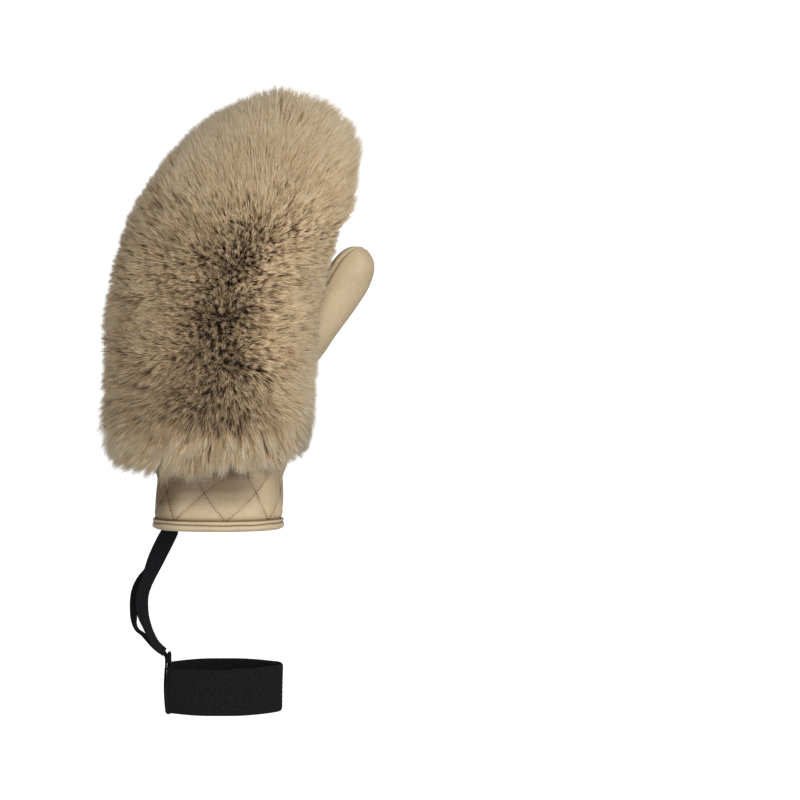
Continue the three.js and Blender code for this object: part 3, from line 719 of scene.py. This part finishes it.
def combing(points, normals, v):
    """The way the pile lies at a place, along the surface, as long as it is strong."""
    x, z = points[..., 0], points[..., 2]
    place, _ = parting_at(z)
    sideways = (x - place) / np.where(x > place, 34 * MM, 52 * MM)
    upward = smooth(z, 170 * MM, 235 * MM) * 1.25 - smooth(-z, -135 * MM, -70 * MM) * 0.55
    fringe = 1 - smooth(v, -0.02, 0.13)
    swirl = waves(points, 42 * MM, 61) * 0.4 + waves(points, 14 * MM, 63) * 0.22
    wish = np.stack([np.clip(sideways, -1.1, 1.1), 0 * x, upward + swirl - 1.4 * fringe], -1)
    wish = wish - (wish * normals).sum(-1, keepdims=True) * normals
    size = np.linalg.norm(wish, axis=-1, keepdims=True)
    return wish / np.maximum(size, 1e-9) * np.minimum(size, 1.0)


def pile(v, degrees):
    """Roots and free tips of the pile at places on the hand, with the surface's normals."""
    base = hand_point(v, degrees)
    normals = normal_of(hand_point, v, degrees)
    comb = combing(base, normals, v)
    fringe = 1 - smooth(v, -0.02, 0.12)
    across = np.cos(np.radians(degrees))
    low = mix(14.5 * MM, 17 * MM, smooth(-across, 0.4, 0.9))
    height = mix(PILE_HEIGHT * (1 + 0.34 * smooth(v, 0.82, 0.97)), low, fringe)
    height = height * (1 + 0.05 * waves(base, 16 * MM, 62))
    sweep = mix(PILE_SWEEP, FRINGE_SWEEP, fringe)
    root = base + normals * PILE_ROOT * 0.8
    tip = base + normals * height[..., None] + comb * sweep[..., None]
    far = np.interp(tip[..., 2] / MM, PRESSED[:, 0], PRESSED[:, 1]) * smooth(-across, 0.1, 0.8)
    near = np.interp(tip[..., 2] / MM, PRESSED[:, 0], PRESSED[:, 2]) * smooth(across, -0.3, 0.8)
    tip[..., 0] += (far - near) * MM
    hem = np.interp(tip[..., 0] / MM, FRINGE_LINE[:, 0], FRINGE_LINE[:, 1]) * MM
    tip[..., 2] += np.maximum(hem - tip[..., 2], 0) * 0.92
    return root, tip, normals


def strand_places(count, rng):
    """Places on the back of the hand, spread evenly over its area and closer together at the hem."""
    v = rng.uniform(-0.035, 0.995, 4 * count)
    degrees = rng.uniform(-7, 187, 4 * count)
    step = 1e-3
    along = hand_point(v + step, degrees) - hand_point(v, degrees)
    around = hand_point(v, degrees + 0.1) - hand_point(v, degrees)
    area = np.linalg.norm(np.cross(along, around), axis=1)
    area *= 1 + 0.5 * (1 - smooth(v, 0.0, 0.1))
    keep = rng.uniform(size=len(v)) < area / np.quantile(area, 0.98)
    return v[keep][:count], degrees[keep][:count]


def darkness_at(points):
    """How much the dark roots show, most along the parting, with painted shade on the far side.

    It is least at the tip, whose pile is paler, and low on the thumb side and in the fringe, which get
    painted light against their shadow; the fringe's tips are paler too.
    """
    x, z = points[..., 0], points[..., 2]
    place, dark = parting_at(z)
    low_half = smooth(-z, -125 * MM, -95 * MM)
    streak = dark * bell(x - place, mix(23 * MM, 28 * MM, low_half))
    # Painted shade: the far side is darker.
    far = smooth(-x, -10 * MM, 30 * MM) * smooth(-z, -245 * MM, -185 * MM) * smooth(z, 60 * MM, 90 * MM)
    far *= 1 - 0.7 * smooth(-x, 50 * MM, 70 * MM)
    tip_end = 1.25 * smooth(z, 192 * MM, 240 * MM)
    thumb_side = smooth(x, 22 * MM, 52 * MM)
    hanging = smooth(-z, -80 * MM, -63 * MM)
    # Painted light low on the thumb side and in the fringe, against the shadow there; the tip and the
    # fringe's tips are also paler of their own.
    pale_and_painted_light = np.maximum(tip_end, 2.3 * thumb_side * low_half) + 2.1 * hanging
    nick = np.exp(-((x + 33 * MM) ** 2 + (z - 208 * MM) ** 2) / (3 * MM) ** 2)
    return np.clip(streak + (0.38 + 0.3 * low_half) * far + 0.8 * nick, 0, 1) * (1 - hanging) - 0.3 * pale_and_painted_light


def nearest_of(places, seeds):
    """For each place the number of the seed nearest to it."""
    tree = KDTree(len(seeds))
    for i, seed in enumerate(seeds):
        tree.insert(seed, i)
    tree.balance()
    return np.array([tree.find(place)[1] for place in places])


def make_strands(name, count, curved, seed, material):
    """Tapering hairs; curved ones have a ring of corners half way."""
    rng = np.random.default_rng(seed)
    v, degrees = strand_places(count, rng)
    count = len(v)
    root, tip, normals = pile(v, degrees)
    # The darkness carries painted shade on the far side and painted light low on the thumb side and in the
    # fringe.
    darkness = darkness_at(root)

    # Each strand's tip is drawn towards the tip of its tuft.
    tuft_rng = np.random.default_rng(5)
    tuft_v, tuft_degrees = strand_places(TUFTS, tuft_rng)
    tuft_root, tuft_tip, _ = pile(tuft_v, tuft_degrees)
    hanging = smooth(-root[:, 2], -84 * MM, -64 * MM)
    tuft = np.where(hanging > 0.5, nearest_of(root, tuft_root[:FRINGE_TUFTS]), nearest_of(root, tuft_root))
    mine = tuft_rng.uniform(0, 1, (len(tuft_v), 5))[tuft]
    loose = np.maximum(0.45 + 0.55 * smooth(darkness, -0.3, 0.1), hanging)
    pull = (0.5 + 0.48 * mine[:, 2]) * loose
    tip = mix(tip, tuft_tip[tuft], pull[:, None])

    length = np.linalg.norm(tip - root, axis=1, keepdims=True)
    stray = rng.normal(size=(count, 3)) * 0.08 + (mine[:, 2:5] - 0.5) * 0.34 * loose[:, None]
    reach = rng.uniform(0.76, 1.04, (count, 1)) + (mine[:, 3:4] - 0.5) * 0.2 * loose[:, None]
    tip = root + (tip - root) * reach + stray * length
    aim = unit(tip - root)
    side = unit(np.cross(aim, rng.normal(size=(count, 3))))
    other = np.cross(aim, side)
    radius = STRAND_RADIUS * rng.uniform(0.75, 1.2, (count, 1))
    rings = [(root, 1.0, 0.0)]
    if curved:
        middle = root + (tip - root) * 0.5 + normals * length * 0.1
        tip = tip - normals * length * 0.04
        rings.append((middle, 0.85, 0.5))
    corners, heights = [], []
    for centre, scale, share in rings:
        for turn in (0, 2.0944, 4.18879):
            corners.append(centre + radius * scale * (math.cos(turn) * side + math.sin(turn) * other))
            heights.append(share)
    points = np.stack([*corners, tip], 1)
    heights.append(1.0)

    tone = rng.normal(0.5, 0.24, count) + (mine[:, 4] - 0.5) * (0.5 + 0.3 * hanging) * loose
    dark_hair = rng.uniform(size=count) < 0.09 + 0.26 * np.clip(darkness, 0, 1)
    tone = np.clip(np.where(dark_hair, tone * 0.25, tone), 0, 1)
    strand = np.ones((count, len(heights), 4))
    strand[..., 0] = np.array(heights)
    strand[..., 1] = tone[:, None]
    strand[..., 2] = 0.5 + 0.5 * darkness[:, None]

    quads, triangles = [], [(0, 1, 3), (1, 2, 3), (2, 0, 3)]
    if curved:
        quads = [(0, 1, 4, 3), (1, 2, 5, 4), (2, 0, 3, 5)]
        triangles = [(3, 4, 6), (4, 5, 6), (5, 3, 6)]
    pieces = 3 if curved else 2
    for i, part in enumerate(np.array_split(np.arange(count), pieces)):
        first = len(heights) * np.arange(len(part))[:, None, None]
        part_quads = (first + np.array(quads)[None]).reshape(-1, 4) if curved else ()
        part_triangles = (first + np.array(triangles)[None]).reshape(-1, 3)
        made = build(f"{name}_{i + 1}", points[part].reshape(-1, 3), part_quads, part_triangles, material)
        store(made, "strand", strand[part].reshape(-1, 4))
        finish_piece(made, "fur", "fur_back")


def make_under_fur():
    """The dense wool at the strands' roots."""
    rows, columns = 100, 90
    vs = np.linspace(-0.03, 1, rows)[:, None]
    turns = np.linspace(-5, 185, columns)[None, :]
    base = hand_point(vs, turns)
    out = normal_of(hand_point, vs, turns)
    rough = waves(base, 7 * MM, 3) * 1.1 * MM + waves(base, 3 * MM, 4) * 0.6 * MM
    rim = np.minimum(smooth(turns, -5, 4), smooth(-turns, -185, -176)) * smooth(vs, -0.03, 0.0)
    height = (PILE_ROOT + rough) * (0.35 + 0.65 * rim)
    outer = base + out * np.broadcast_to(height, base.shape[:2])[..., None]
    inner = base + out * (GAP + 0.2 * MM)
    points, quads = shell(outer, inner)
    made = build("fur_under", points, quads, material=under_material())
    darkness = darkness_at(points)
    even = np.ones_like(darkness)
    store(made, "strand", np.stack([0 * even, 0.5 * even, 0.5 + 0.5 * darkness, even], 1))
    tidy(made)
    finish_piece(made, "fur", "fur_back")


def make_fur():
    material = strand_material()
    make_under_fur()
    make_strands("fur_pile", CURVED_STRANDS, True, 7, material)
    make_strands("fur_fill", STRAIGHT_STRANDS, False, 8, material)


# Stitches
def stitch_row(points, normals, pitch=STITCH_PITCH, share=0.66, radius=STITCH_RADIUS):
    """Short threads along a line on a surface: their points, quads and triangles."""
    run = run_along(points)
    count = max(int(run[-1] / pitch), 1)
    at = (np.arange(count) + 0.5) * run[-1] / count
    reach = share * pitch / 2
    aim = unit(at_lengths(points, run, at + reach) - at_lengths(points, run, at - reach))
    up = unit(at_lengths(normals, run, at))
    side = np.cross(up, aim)
    middle = at_lengths(points, run, at)
    ends = [middle - aim * reach - up * radius * 0.9, middle + aim * reach - up * radius * 0.9]
    ring = []
    for slide, lift in ((-0.62, 0.15), (0.0, 0.45), (0.62, 0.15)):
        for turn in np.radians(np.arange(0, 360, 60)):
            spread = side * math.cos(turn) + up * math.sin(turn)
            ring.append(middle + aim * reach * slide + up * radius * lift + spread * radius)
    made = np.stack([*ring, *ends], 1)
    quads, triangles = [], []
    for i in range(6):
        k = (i + 1) % 6
        quads += [(i, k, 6 + k, 6 + i), (6 + i, 6 + k, 12 + k, 12 + i)]
        triangles += [(18, k, i), (19, 12 + i, 12 + k)]
    first = 20 * np.arange(count)[:, None, None]
    quads = (first + np.array(quads)).reshape(-1, 4)
    triangles = (first + np.array(triangles)).reshape(-1, 3)
    return made.reshape(-1, 3), quads, triangles


def sew(name, lines, material, slot, **settings):
    """One mesh of all the stitches along some lines of (points, normals)."""
    points, quads, triangles, count = [], [], [], 0
    for line, normals in lines:
        p, q, t = stitch_row(line, normals, **settings)
        points.append(p)
        quads.append(q + count)
        triangles.append(t + count)
        count += len(p)
    made = build(name, np.concatenate(points), np.concatenate(quads), np.concatenate(triangles), material)
    tidy(made, 0.001 * MM)
    finish_piece(made, slot)


# Leather
def make_hand(leather):
    core = make_core("thumb_core", thumb_point, -LEATHER, 40, 48, 2)
    halves = {
        "palm_panel": (180, 360, 1, "hand_palm", 96, 66),
        "back_panel": (0, 180, -1, "hand_back", 60, 40),
    }
    for node, (start, end, side, name, rows, columns) in halves.items():
        v = np.linspace(0, 1, rows)[:, None]
        turns = np.linspace(start, end, columns)[None, :]
        base = hand_point(v, turns)
        edge = np.minimum(turns - start, end - turns) / 180 * 150 * MM + 0 * v
        # The wall swells a little beside the seam and rolls in at it.
        puff = 0.35 * MM * bell(edge - 4 * MM, 2.5 * MM) - 1.1 * MM * bell(edge, 2.2 * MM)
        soft = waves(base, 70 * MM, 11) * 0.9 * MM + waves(base, 26 * MM, 12) * 0.25 * MM
        crease = palm_creases(base) if side > 0 else 0
        calm = smooth(v, 0.0, 0.06) * (1 - smooth(v, 0.93, 1.0))
        inland = smooth(edge, 0, 8 * MM)
        outer = offset(hand_point, v, turns, puff * calm + (soft * 0.6 + crease) * calm * inland)
        inner = offset(hand_point, v, turns, np.full(base.shape[:2], -LEATHER))
        inner[0, :, 2] = outer[0, :, 2]
        points, quads = shell(outer, inner)
        points = points + np.array([0, side * GAP / 2, 0])
        made = tidy(build(name, points, quads, material=leather))
        cut(made, core)
        finish_piece(made, "leather", node)
    bpy.data.objects.remove(core)


def palm_creases(points):
    """Soft folds across the palm, where the hand bends."""
    x, z = points[..., 0] / MM, points[..., 2] / MM
    folds = ((112, 0.18, 1.3), (150, -0.25, 1.1), (176, -0.1, 0.8))
    total = np.zeros(x.shape)
    for height, slope, depth in folds:
        away = z - height - slope * x - 3 * np.sin(x / 17)
        total += depth * bell(x, 42) * (0.5 * bell(away - 5, 4) - bell(away, 2.2))
    return total * MM * 0.7


def make_core(name, point, by, rows, columns, ends):
    """A body at a distance from the hand's or the thumb's surface, capped at 1 end, its root, or at 2."""
    v = np.linspace(0, 1, rows)[:, None]
    turns = np.linspace(0, 360, columns, endpoint=False)[None, :]
    ring = offset(point, v, turns, by)
    middles = [ring[:1].mean(1), ring[-1:].mean(1)][:ends]
    points = np.concatenate([ring.reshape(-1, 3), *middles])
    caps = np.concatenate(end_fans(rows, columns)[:ends])
    return tidy(build(name, points, grid_quads(rows, columns, True), caps))


def make_thumb(leather, thread):
    rows, columns = 72, 46
    v = np.linspace(0, 1, rows)[:, None]
    core = make_core("hand_core", hand_point, GAP, 50, 60, 1)
    halves = {"thumb_back": -THUMB_SEAM_TURN, "thumb_front": 180 - THUMB_SEAM_TURN}
    for node, start in halves.items():
        turns = np.linspace(start, start + 180, columns)[None, :]
        base = thumb_point(v, turns)
        edge = np.minimum(turns - start, start + 180 - turns) / 180 * 42 * MM + 0 * v
        calm = 1 - smooth(v, 0.96, 1.0)
        proud = 0.5 if node == "thumb_front" else 0.25
        puff = proud * MM * bell(edge - 2.4 * MM, 1.3 * MM) - 1.2 * MM * bell(edge, 1.3 * MM)
        soft = waves(base, 34 * MM, 21) * 0.5 * MM + waves(base, 12 * MM, 22) * 0.12 * MM
        outer = offset(thumb_point, v, turns, puff * calm + soft * calm * smooth(edge, 0, 5 * MM))
        inner = offset(thumb_point, v, turns, np.full(base.shape[:2], -LEATHER))
        push = unit(thumb_point(0.5, start + 90) - thumb_point(0.5, start + 270)) * GAP / 2
        points, quads = shell(outer, inner)
        made = tidy(build(node + "_leather", points + push, quads, material=leather))
        cut(made, core)
        finish_piece(made, "leather", node)
    bpy.data.objects.remove(core)
    lines = []
    for start in halves.values():
        line_v = np.linspace(0.42, 0.985, 120)
        turn = start + 9
        lines.append((offset(thumb_point, line_v, turn, 0.2 * MM), normal_of(thumb_point, line_v, turn)))
    sew("thumb_stitches", lines, thread, "leather", pitch=2.6 * MM, radius=0.2 * MM)


def quilt(h, degrees):
    up = (h * CUFF_HEIGHT - BINDING_HEIGHT) / QUILT_HEIGHT
    across = (degrees + QUILT_LEAN * up - QUILT_START) / 360 * QUILT_COUNT
    pillow = np.abs(np.sin(math.pi * (across + up)) * np.sin(math.pi * (across - up)))
    return QUILT_RISE * pillow ** 0.45 * smooth(up, 0, 0.12)


def on_the_back(points):
    """1 on the side of the hand's back, fading to 0 on the palm's side."""
    return smooth(-points[..., 1], -6 * MM, 12 * MM)


def make_cuff(leather, thread):
    bottom = (BINDING_LEATHER + GAP) / CUFF_HEIGHT
    top = 1 - GAP / 2 / CUFF_HEIGHT
    h = np.linspace(bottom, top, 86)[:, None]
    turns = np.linspace(0, 360, QUILT_COUNT * 26, endpoint=False)[None, :]
    rise = quilt(h, turns)
    place = cuff_point(h, turns)
    pucker = waves(place, 5 * MM, 31) * 0.14 * MM * (1 - rise / QUILT_RISE) * smooth(h, 0.12, 0.2)
    slack = waves(place, 30 * MM, 32) * 0.4 * MM * smooth(h, 0.12, 0.3)
    ditch = -0.9 * MM * bell(h * CUFF_HEIGHT - BINDING_HEIGHT - 0.4 * MM, 0.9 * MM)
    outer = cuff_point(h, turns, rise + pucker + slack + ditch)
    inner = cuff_point(h, turns, -CUFF_WALL)
    points, quads = shell(outer, inner, wrapped=True)
    made = build("cuff_quilted", points, quads, material=leather)
    # Painted shade in the quilting's grooves and in the ditch above the binding.
    painted_groove_shade = 0.4 * bell(rise, 0.3 * QUILT_RISE) + 0.5 * np.abs(ditch) / (0.9 * MM)
    # Painted shade: darker under the fringe, less so towards the thumb, darker on the far side, and only on
    # the back.
    painted_cuff_shade = 0.66 * smooth(outer[..., 2], 12 * MM, 24 * MM) + 0.42 * smooth(outer[..., 2], 23 * MM, 31 * MM)
    painted_cuff_shade = painted_cuff_shade * (1 - 0.75 * smooth(outer[..., 0], 10 * MM, 34 * MM))
    painted_cuff_shade += 0.6 * smooth(-outer[..., 0], 20 * MM, 38 * MM)
    painted_cuff_shade *= on_the_back(outer)
    crease = np.zeros((len(points), 4))
    crease[:outer[..., 0].size, 0] = np.clip(painted_groove_shade, 0, 1).ravel()
    crease[:outer[..., 0].size, 1] = np.clip(painted_cuff_shade, 0, 0.92).ravel()
    store(made, "crease", crease)
    tidy(made)
    finish_piece(made, "leather", "cuff")

    lines = []
    climb = np.linspace(0.015, (CUFF_HEIGHT * 0.985 - BINDING_HEIGHT) / QUILT_HEIGHT, 90)
    heights = (climb * QUILT_HEIGHT + BINDING_HEIGHT) / CUFF_HEIGHT
    for k in range(QUILT_COUNT):
        for way in (-1, 1):
            angle = QUILT_START + 360 / QUILT_COUNT * (k + way * climb) - QUILT_LEAN * climb
            line = cuff_point(heights, angle, 0.2 * MM)
            lines.append((line, unit(line * [1, 1, 0])))
    sew("quilting_stitches", lines, thread, "leather")
    climb = np.linspace(BINDING_HEIGHT / CUFF_HEIGHT, 0.97, 60)
    line = cuff_point(climb, SIDE_SEAM, 0.5 * MM + 0.7 * quilt(climb, SIDE_SEAM))
    sew("side_seam_stitches", [(line, unit(line * [1, 1, 0]))], thread, "leather", radius=0.2 * MM, share=0.5)


def binding_seam(turns):
    """Height of the wavy seam that is sunk into the binding's face."""
    angle = np.radians(turns)
    return BINDING_HEIGHT * (0.68 + 0.035 * np.sin(angle * 3 + 0.6) + 0.02 * np.sin(angle * 11))


def make_binding(leather, thread):
    outside = GAP + BINDING_LEATHER
    inside = CUFF_WALL + GAP + BINDING_LEATHER
    middle = (outside - inside) / 2
    half = (outside + inside) / 2
    angles = np.linspace(0.15, math.pi - 0.15, 14)
    fold = [(middle + half * math.cos(a), 2 * MM - 2 * MM * math.sin(a)) for a in angles]
    face = [(outside, z) for z in np.linspace(BINDING_HEIGHT - 0.3 * MM, 2.3 * MM, 18)]
    back = [(-inside, 2.3 * MM), (-inside - 0.2 * MM, 4 * MM), (-inside, 5.9 * MM)]
    profile = np.array([
        (GAP, BINDING_HEIGHT - 0.5 * MM),
        (GAP + 0.5 * MM, BINDING_HEIGHT + 0.1 * MM),
        (outside - 0.35 * MM, BINDING_HEIGHT + 0.1 * MM),
        *face,
        *fold,
        *back,
        (-CUFF_WALL - GAP - 0.4 * MM, BINDING_HEIGHT),
        (-CUFF_WALL - GAP, BINDING_HEIGHT - 0.5 * MM),
        (-CUFF_WALL - GAP, 1.5 * MM),
        (GAP, 1.5 * MM),
    ])
    turns = np.linspace(0, 360, 340, endpoint=False)[:, None]
    ripple = waves(cuff_point(0, turns)[:, 0], 13 * MM, 41)[:, None] * 0.22 * MM
    out, z = profile[:, 0][None, :], profile[:, 1][None, :]
    swell = np.where(np.abs(out - middle) > half * 0.8, np.sign(out - middle), 0) * ripple
    below = z - binding_seam(turns)
    sunk = 0.3 * MM * bell(below + 2.2 * MM, 1.6 * MM) - 0.8 * MM * bell(below, 0.42 * MM)
    on_face = out > outside - 0.1 * MM
    swell = swell + np.where(on_face, sunk, 0)
    points = cuff_point(0, turns, out + swell)
    points[..., 2] = z + 0 * turns
    points[..., 2] += ripple * (z > 1 * MM)
    quads = ring_quads(len(turns), len(profile))
    made = build("hem_binding", points.reshape(-1, 3), quads, material=leather)
    crease = np.zeros(points.shape[:2] + (4,))
    # Painted shade in the binding's sunk seam, and on its far side at the back.
    crease[..., 0] = np.where(on_face, 0.8 * bell(below, 0.5 * MM), 0)
    crease[..., 1] = 0.25 * smooth(-points[..., 0], 26 * MM, 42 * MM) * on_the_back(points)
    store(made, "crease", crease.reshape(-1, 4))
    tidy(made)
    finish_piece(made, "leather", "cuff_binding")
    ring = np.linspace(0, 360, 260)
    line = cuff_point(0, ring, outside - 0.6 * MM)
    line[:, 2] = binding_seam(ring)
    sew("hem_stitches", [(line, unit(line * [1, 1, 0]))], thread, "leather", pitch=2.4 * MM, radius=0.2 * MM)


# Webbing and elastic
def strap_mesh(name, stations, width, material, slot, node, ribs=1.15 * MM):
    """A woven strap through stations of (x, y, z, turn), with rounded edges and fine ribs."""
    places, turns = stations[:, :3], np.radians(stations[:, 3])
    run = run_along(places)
    at = np.linspace(0, run[-1], int(run[-1] / (ribs / 3)))
    middle = at_lengths(places, run, at)
    for _ in range(6):
        middle[1:-1] = (middle[:-2] + 2 * middle[1:-1] + middle[2:]) / 4
    turn = np.interp(at, run, turns)
    along = unit(np.gradient(middle, axis=0))
    plane = unit(np.stack([along[:, 2], 0 * at, -along[:, 0]], 1))
    wide = plane * np.cos(turn)[:, None] + SIDEWAYS * np.sin(turn)[:, None]
    wide = unit(wide - (wide * along).sum(1, keepdims=True) * along)
    thick = np.cross(along, wide)
    corner = np.radians(np.linspace(0, 360, 32, endpoint=False))
    flat = np.sign(np.cos(corner)) * np.abs(np.cos(corner)) ** 0.35
    tall = np.sign(np.sin(corner)) * np.abs(np.sin(corner)) ** 0.6
    rib = 1 + 0.1 * np.cos(2 * math.pi * at / ribs)[:, None] * np.ones_like(flat)
    lane = 1 + 0.06 * np.cos(flat * width / (1.6 * MM) * math.pi)[None, :]
    reach = flat[None, :] * width / 2 * (1 + 0.006 * np.sin(2 * math.pi * at / ribs / 1.5)[:, None])
    lift = tall[None, :] * WEBBING / 2 * rib * lane * 0.94
    points = middle[:, None] + wide[:, None] * reach[..., None] + thick[:, None] * lift[..., None]
    rows, columns = points.shape[:2]
    quads = grid_quads(rows, columns, True)
    flat_points = np.concatenate([points.reshape(-1, 3), points[0].mean(0)[None], points[-1].mean(0)[None]])
    made = build(name, flat_points, quads, np.concatenate(end_fans(rows, columns)), material)
    weave = np.zeros((rows * columns + 2, 3))
    weave[:-2, 0] = (reach / MM).ravel()
    weave[:-2, 1] = np.repeat(at / MM, columns)
    store(made, "weave", weave)
    tidy(made, 0.001 * MM)
    finish_piece(made, slot, node)


seat_inwards = CUFF_WALL + 2 * GAP + BINDING_LEATHER + WEBBING + 0.4 * MM
leash_seat = cuff_point(0, LEASH_SEAT, -seat_inwards)
seat_tangent = cuff_point(0, LEASH_SEAT + 4) - cuff_point(0, LEASH_SEAT - 4)
seat_turn = -math.degrees(math.atan2(seat_tangent[1], seat_tangent[0]))


def leash_at(t):
    drop, side, back, turn = np.moveaxis(sample(LEASH_ROUTE, t), -1, 0)
    x = leash_seat[0] + side * LEASH_WIDTH
    y = leash_seat[1] + back * LEASH_WIDTH
    return np.stack([x, y, -drop * LEASH_DROP, turn], -1)


leash_end = leash_at(len(LEASH_ROUTE) - 1.0)
BAND_TOP = -(LEASH_DROP + BAND_DROP)
band_left = leash_end[0] + BAND_SIDE


def make_straps(webbing):
    heights = (LEASH_INSIDE, 17 * MM, 10 * MM, 3 * MM)
    inside = np.array([(leash_seat[0], leash_seat[1], z, seat_turn) for z in heights])
    outside = leash_at(np.linspace(0, len(LEASH_ROUTE) - 1, 120))
    strap_mesh("leash_webbing", np.vstack([inside, outside]), LEASH_WIDTH, webbing, "webbing", "leash_strap")

    rows = sample(SLACK_ROUTE, np.linspace(0, len(SLACK_ROUTE) - 1, 120))
    drop, off, behind, turn = rows.T
    fine = np.linspace(0, len(LEASH_ROUTE) - 1, 2000)
    beside = leash_at(np.interp(drop, sample(LEASH_ROUTE, fine)[:, 0], fine))
    beside[:, 0] -= off * LEASH_WIDTH
    beside[:, 1] += behind * LEASH_WIDTH + (WEBBING + GAP) * (1 - smooth(off, 0, 0.2))
    beside[:, 3] = turn
    outer = band_left - STRAP_GAP - WEBBING / 2
    inner = band_left + BAND_WALL + STRAP_GAP + WEBBING / 2
    low = BAND_TOP - BAND_HEIGHT - STRAP_GAP
    radius = (inner - outer) / 2
    half_turn = np.linspace(0, math.pi, 14)
    fold = [(outer + radius - radius * math.cos(a), low - radius * math.sin(a)) for a in half_turn]
    bowed = [
        (outer - STRAP_BOW * math.sin(math.pi * f), BAND_TOP - BAND_HEIGHT * f)
        for f in np.linspace(0.06, 0.94, 12)
    ]
    folded = outer + WEBBING + STRAP_GAP
    rising = folded + WEBBING + STRAP_GAP
    knob = BAND_TOP + BAND_DROP - 0.8 * MM
    centre, bend = (folded + rising) / 2, (rising - folded) / 2
    over = [(centre + bend * math.cos(a), knob + bend * math.sin(a)) for a in np.linspace(0, math.pi, 12)]
    loop = [
        (outer, BAND_TOP + BAND_DROP * 0.6),
        (outer, BAND_TOP - 1 * MM),
        *bowed,
        *fold,
        (inner - STRAP_BOW, BAND_TOP - BAND_HEIGHT / 2),
        (inner, BAND_TOP - 1 * MM),
        (rising, BAND_TOP + 1.5 * MM),
        *over,
        (folded, BAND_TOP + 0.8 * MM),
    ]
    loop = np.array([(x, leash_end[1], z, -90) for x, z in loop])
    strap_mesh("band_webbing", np.vstack([beside, loop]), BAND_STRAP_WIDTH, webbing, "webbing", "band_strap")


def make_band(elastic):
    half = len(BAND_OUTLINE) - 1
    fine = np.linspace(0, half, 160)
    near = sample(BAND_OUTLINE, fine)
    side = np.stack([band_left + near[:, 0] * BAND_LENGTH, -near[:, 1] * BAND_DEPTH / 2], 1)
    ring = np.concatenate([side, (side * [1, -1])[-2:0:-1]])
    closed = np.vstack([ring, ring[:1]])
    run = run_along(closed)
    at = np.linspace(0, run[-1], 320, endpoint=False)
    middle = at_lengths(closed, run, at)
    for _ in range(8):
        middle = (np.roll(middle, 1, 0) + 2 * middle + np.roll(middle, -1, 0)) / 4
    along = unit(np.roll(middle, -1, 0) - np.roll(middle, 1, 0))
    inwards = np.stack([-along[:, 1], along[:, 0]], 1)
    low = BAND_TOP - BAND_HEIGHT
    heights = np.linspace(0, 1, 32)
    rounding = np.sqrt(np.clip(1 - (np.abs(heights - 0.5) * 2) ** 18, 0, 1))
    ribs = 0.09 * MM * np.cos(heights * BAND_HEIGHT / (1.5 * MM) * 2 * math.pi)
    outer = (1 - rounding) * BAND_WALL / 2 - ribs * rounding
    inner = BAND_WALL - (1 - rounding) * BAND_WALL / 2 + ribs * rounding
    profile = np.concatenate([outer, inner[::-1]])
    levels = np.concatenate([heights, heights[::-1]])
    share = at / run[-1]
    bend = 0.35 * MM * np.sin(share * 2 * math.pi * 3 + 1.0) + 0.2 * MM * np.sin(share * 14 * math.pi)
    crease = 0.8 * MM * bell(middle[:, 0] - band_left - BAND_LENGTH * 0.955, 2.2 * MM)
    beside_strap = bell(middle[:, 0] - band_left, 5 * MM)
    shift = bend[:, None] * (levels - 0.5)[None, :] * 2
    shift += crease[:, None] * np.sin(levels * math.pi * 1.3)[None, :]
    shift -= STRAP_BOW * beside_strap[:, None] * np.sin(levels * math.pi)[None, :]
    depth = profile[None, :] + shift
    flat = middle[:, None] + inwards[:, None] * depth[..., None]
    sag = 0.3 * MM * np.sin(middle[:, :1] / (24 * MM)) * (levels[None, :] > 0.5)
    z = low + levels[None, :] * BAND_HEIGHT + sag + flat[..., 1] * math.tan(math.radians(BAND_TILT))
    points = np.stack([flat[..., 0], flat[..., 1] + leash_end[1], z], -1)
    rows, columns = points.shape[:2]
    made = build("elastic_band", points.reshape(-1, 3), ring_quads(rows, columns), material=elastic)
    weave = np.zeros((rows * columns, 3))
    weave[:, 0] = np.repeat(at / MM, columns)
    weave[:, 1] = np.tile(levels * BAND_HEIGHT / MM, rows)
    store(made, "weave", weave)
    tidy(made, 0.001 * MM)
    finish_piece(made, "elastic", "wrist_band")


make_camera()
make_stage()
beige = leather_material("beige_leather", colour(192, 171, 138))
# The cuff's and the binding's leather take painted shade from their crease colour.
cuff_beige = leather_material("cuff_leather", colour(199, 176, 142), 1.0, True)
edge_beige = leather_material("edge_leather", colour(204, 183, 150), 0.8, True)
brown_thread = thread_material("brown_thread", colour(88, 60, 36))
beige_thread = thread_material("beige_thread", colour(176, 150, 112))
make_hand(beige)
make_thumb(beige, beige_thread)
make_cuff(cuff_beige, brown_thread)
make_binding(edge_beige, brown_thread)
make_straps(woven_material("black_webbing", colour(17, 17, 20), 1.1, 1.15))
make_band(woven_material("black_elastic", colour(18, 18, 19), 1.5, 1.2, 0.6))
make_fur()
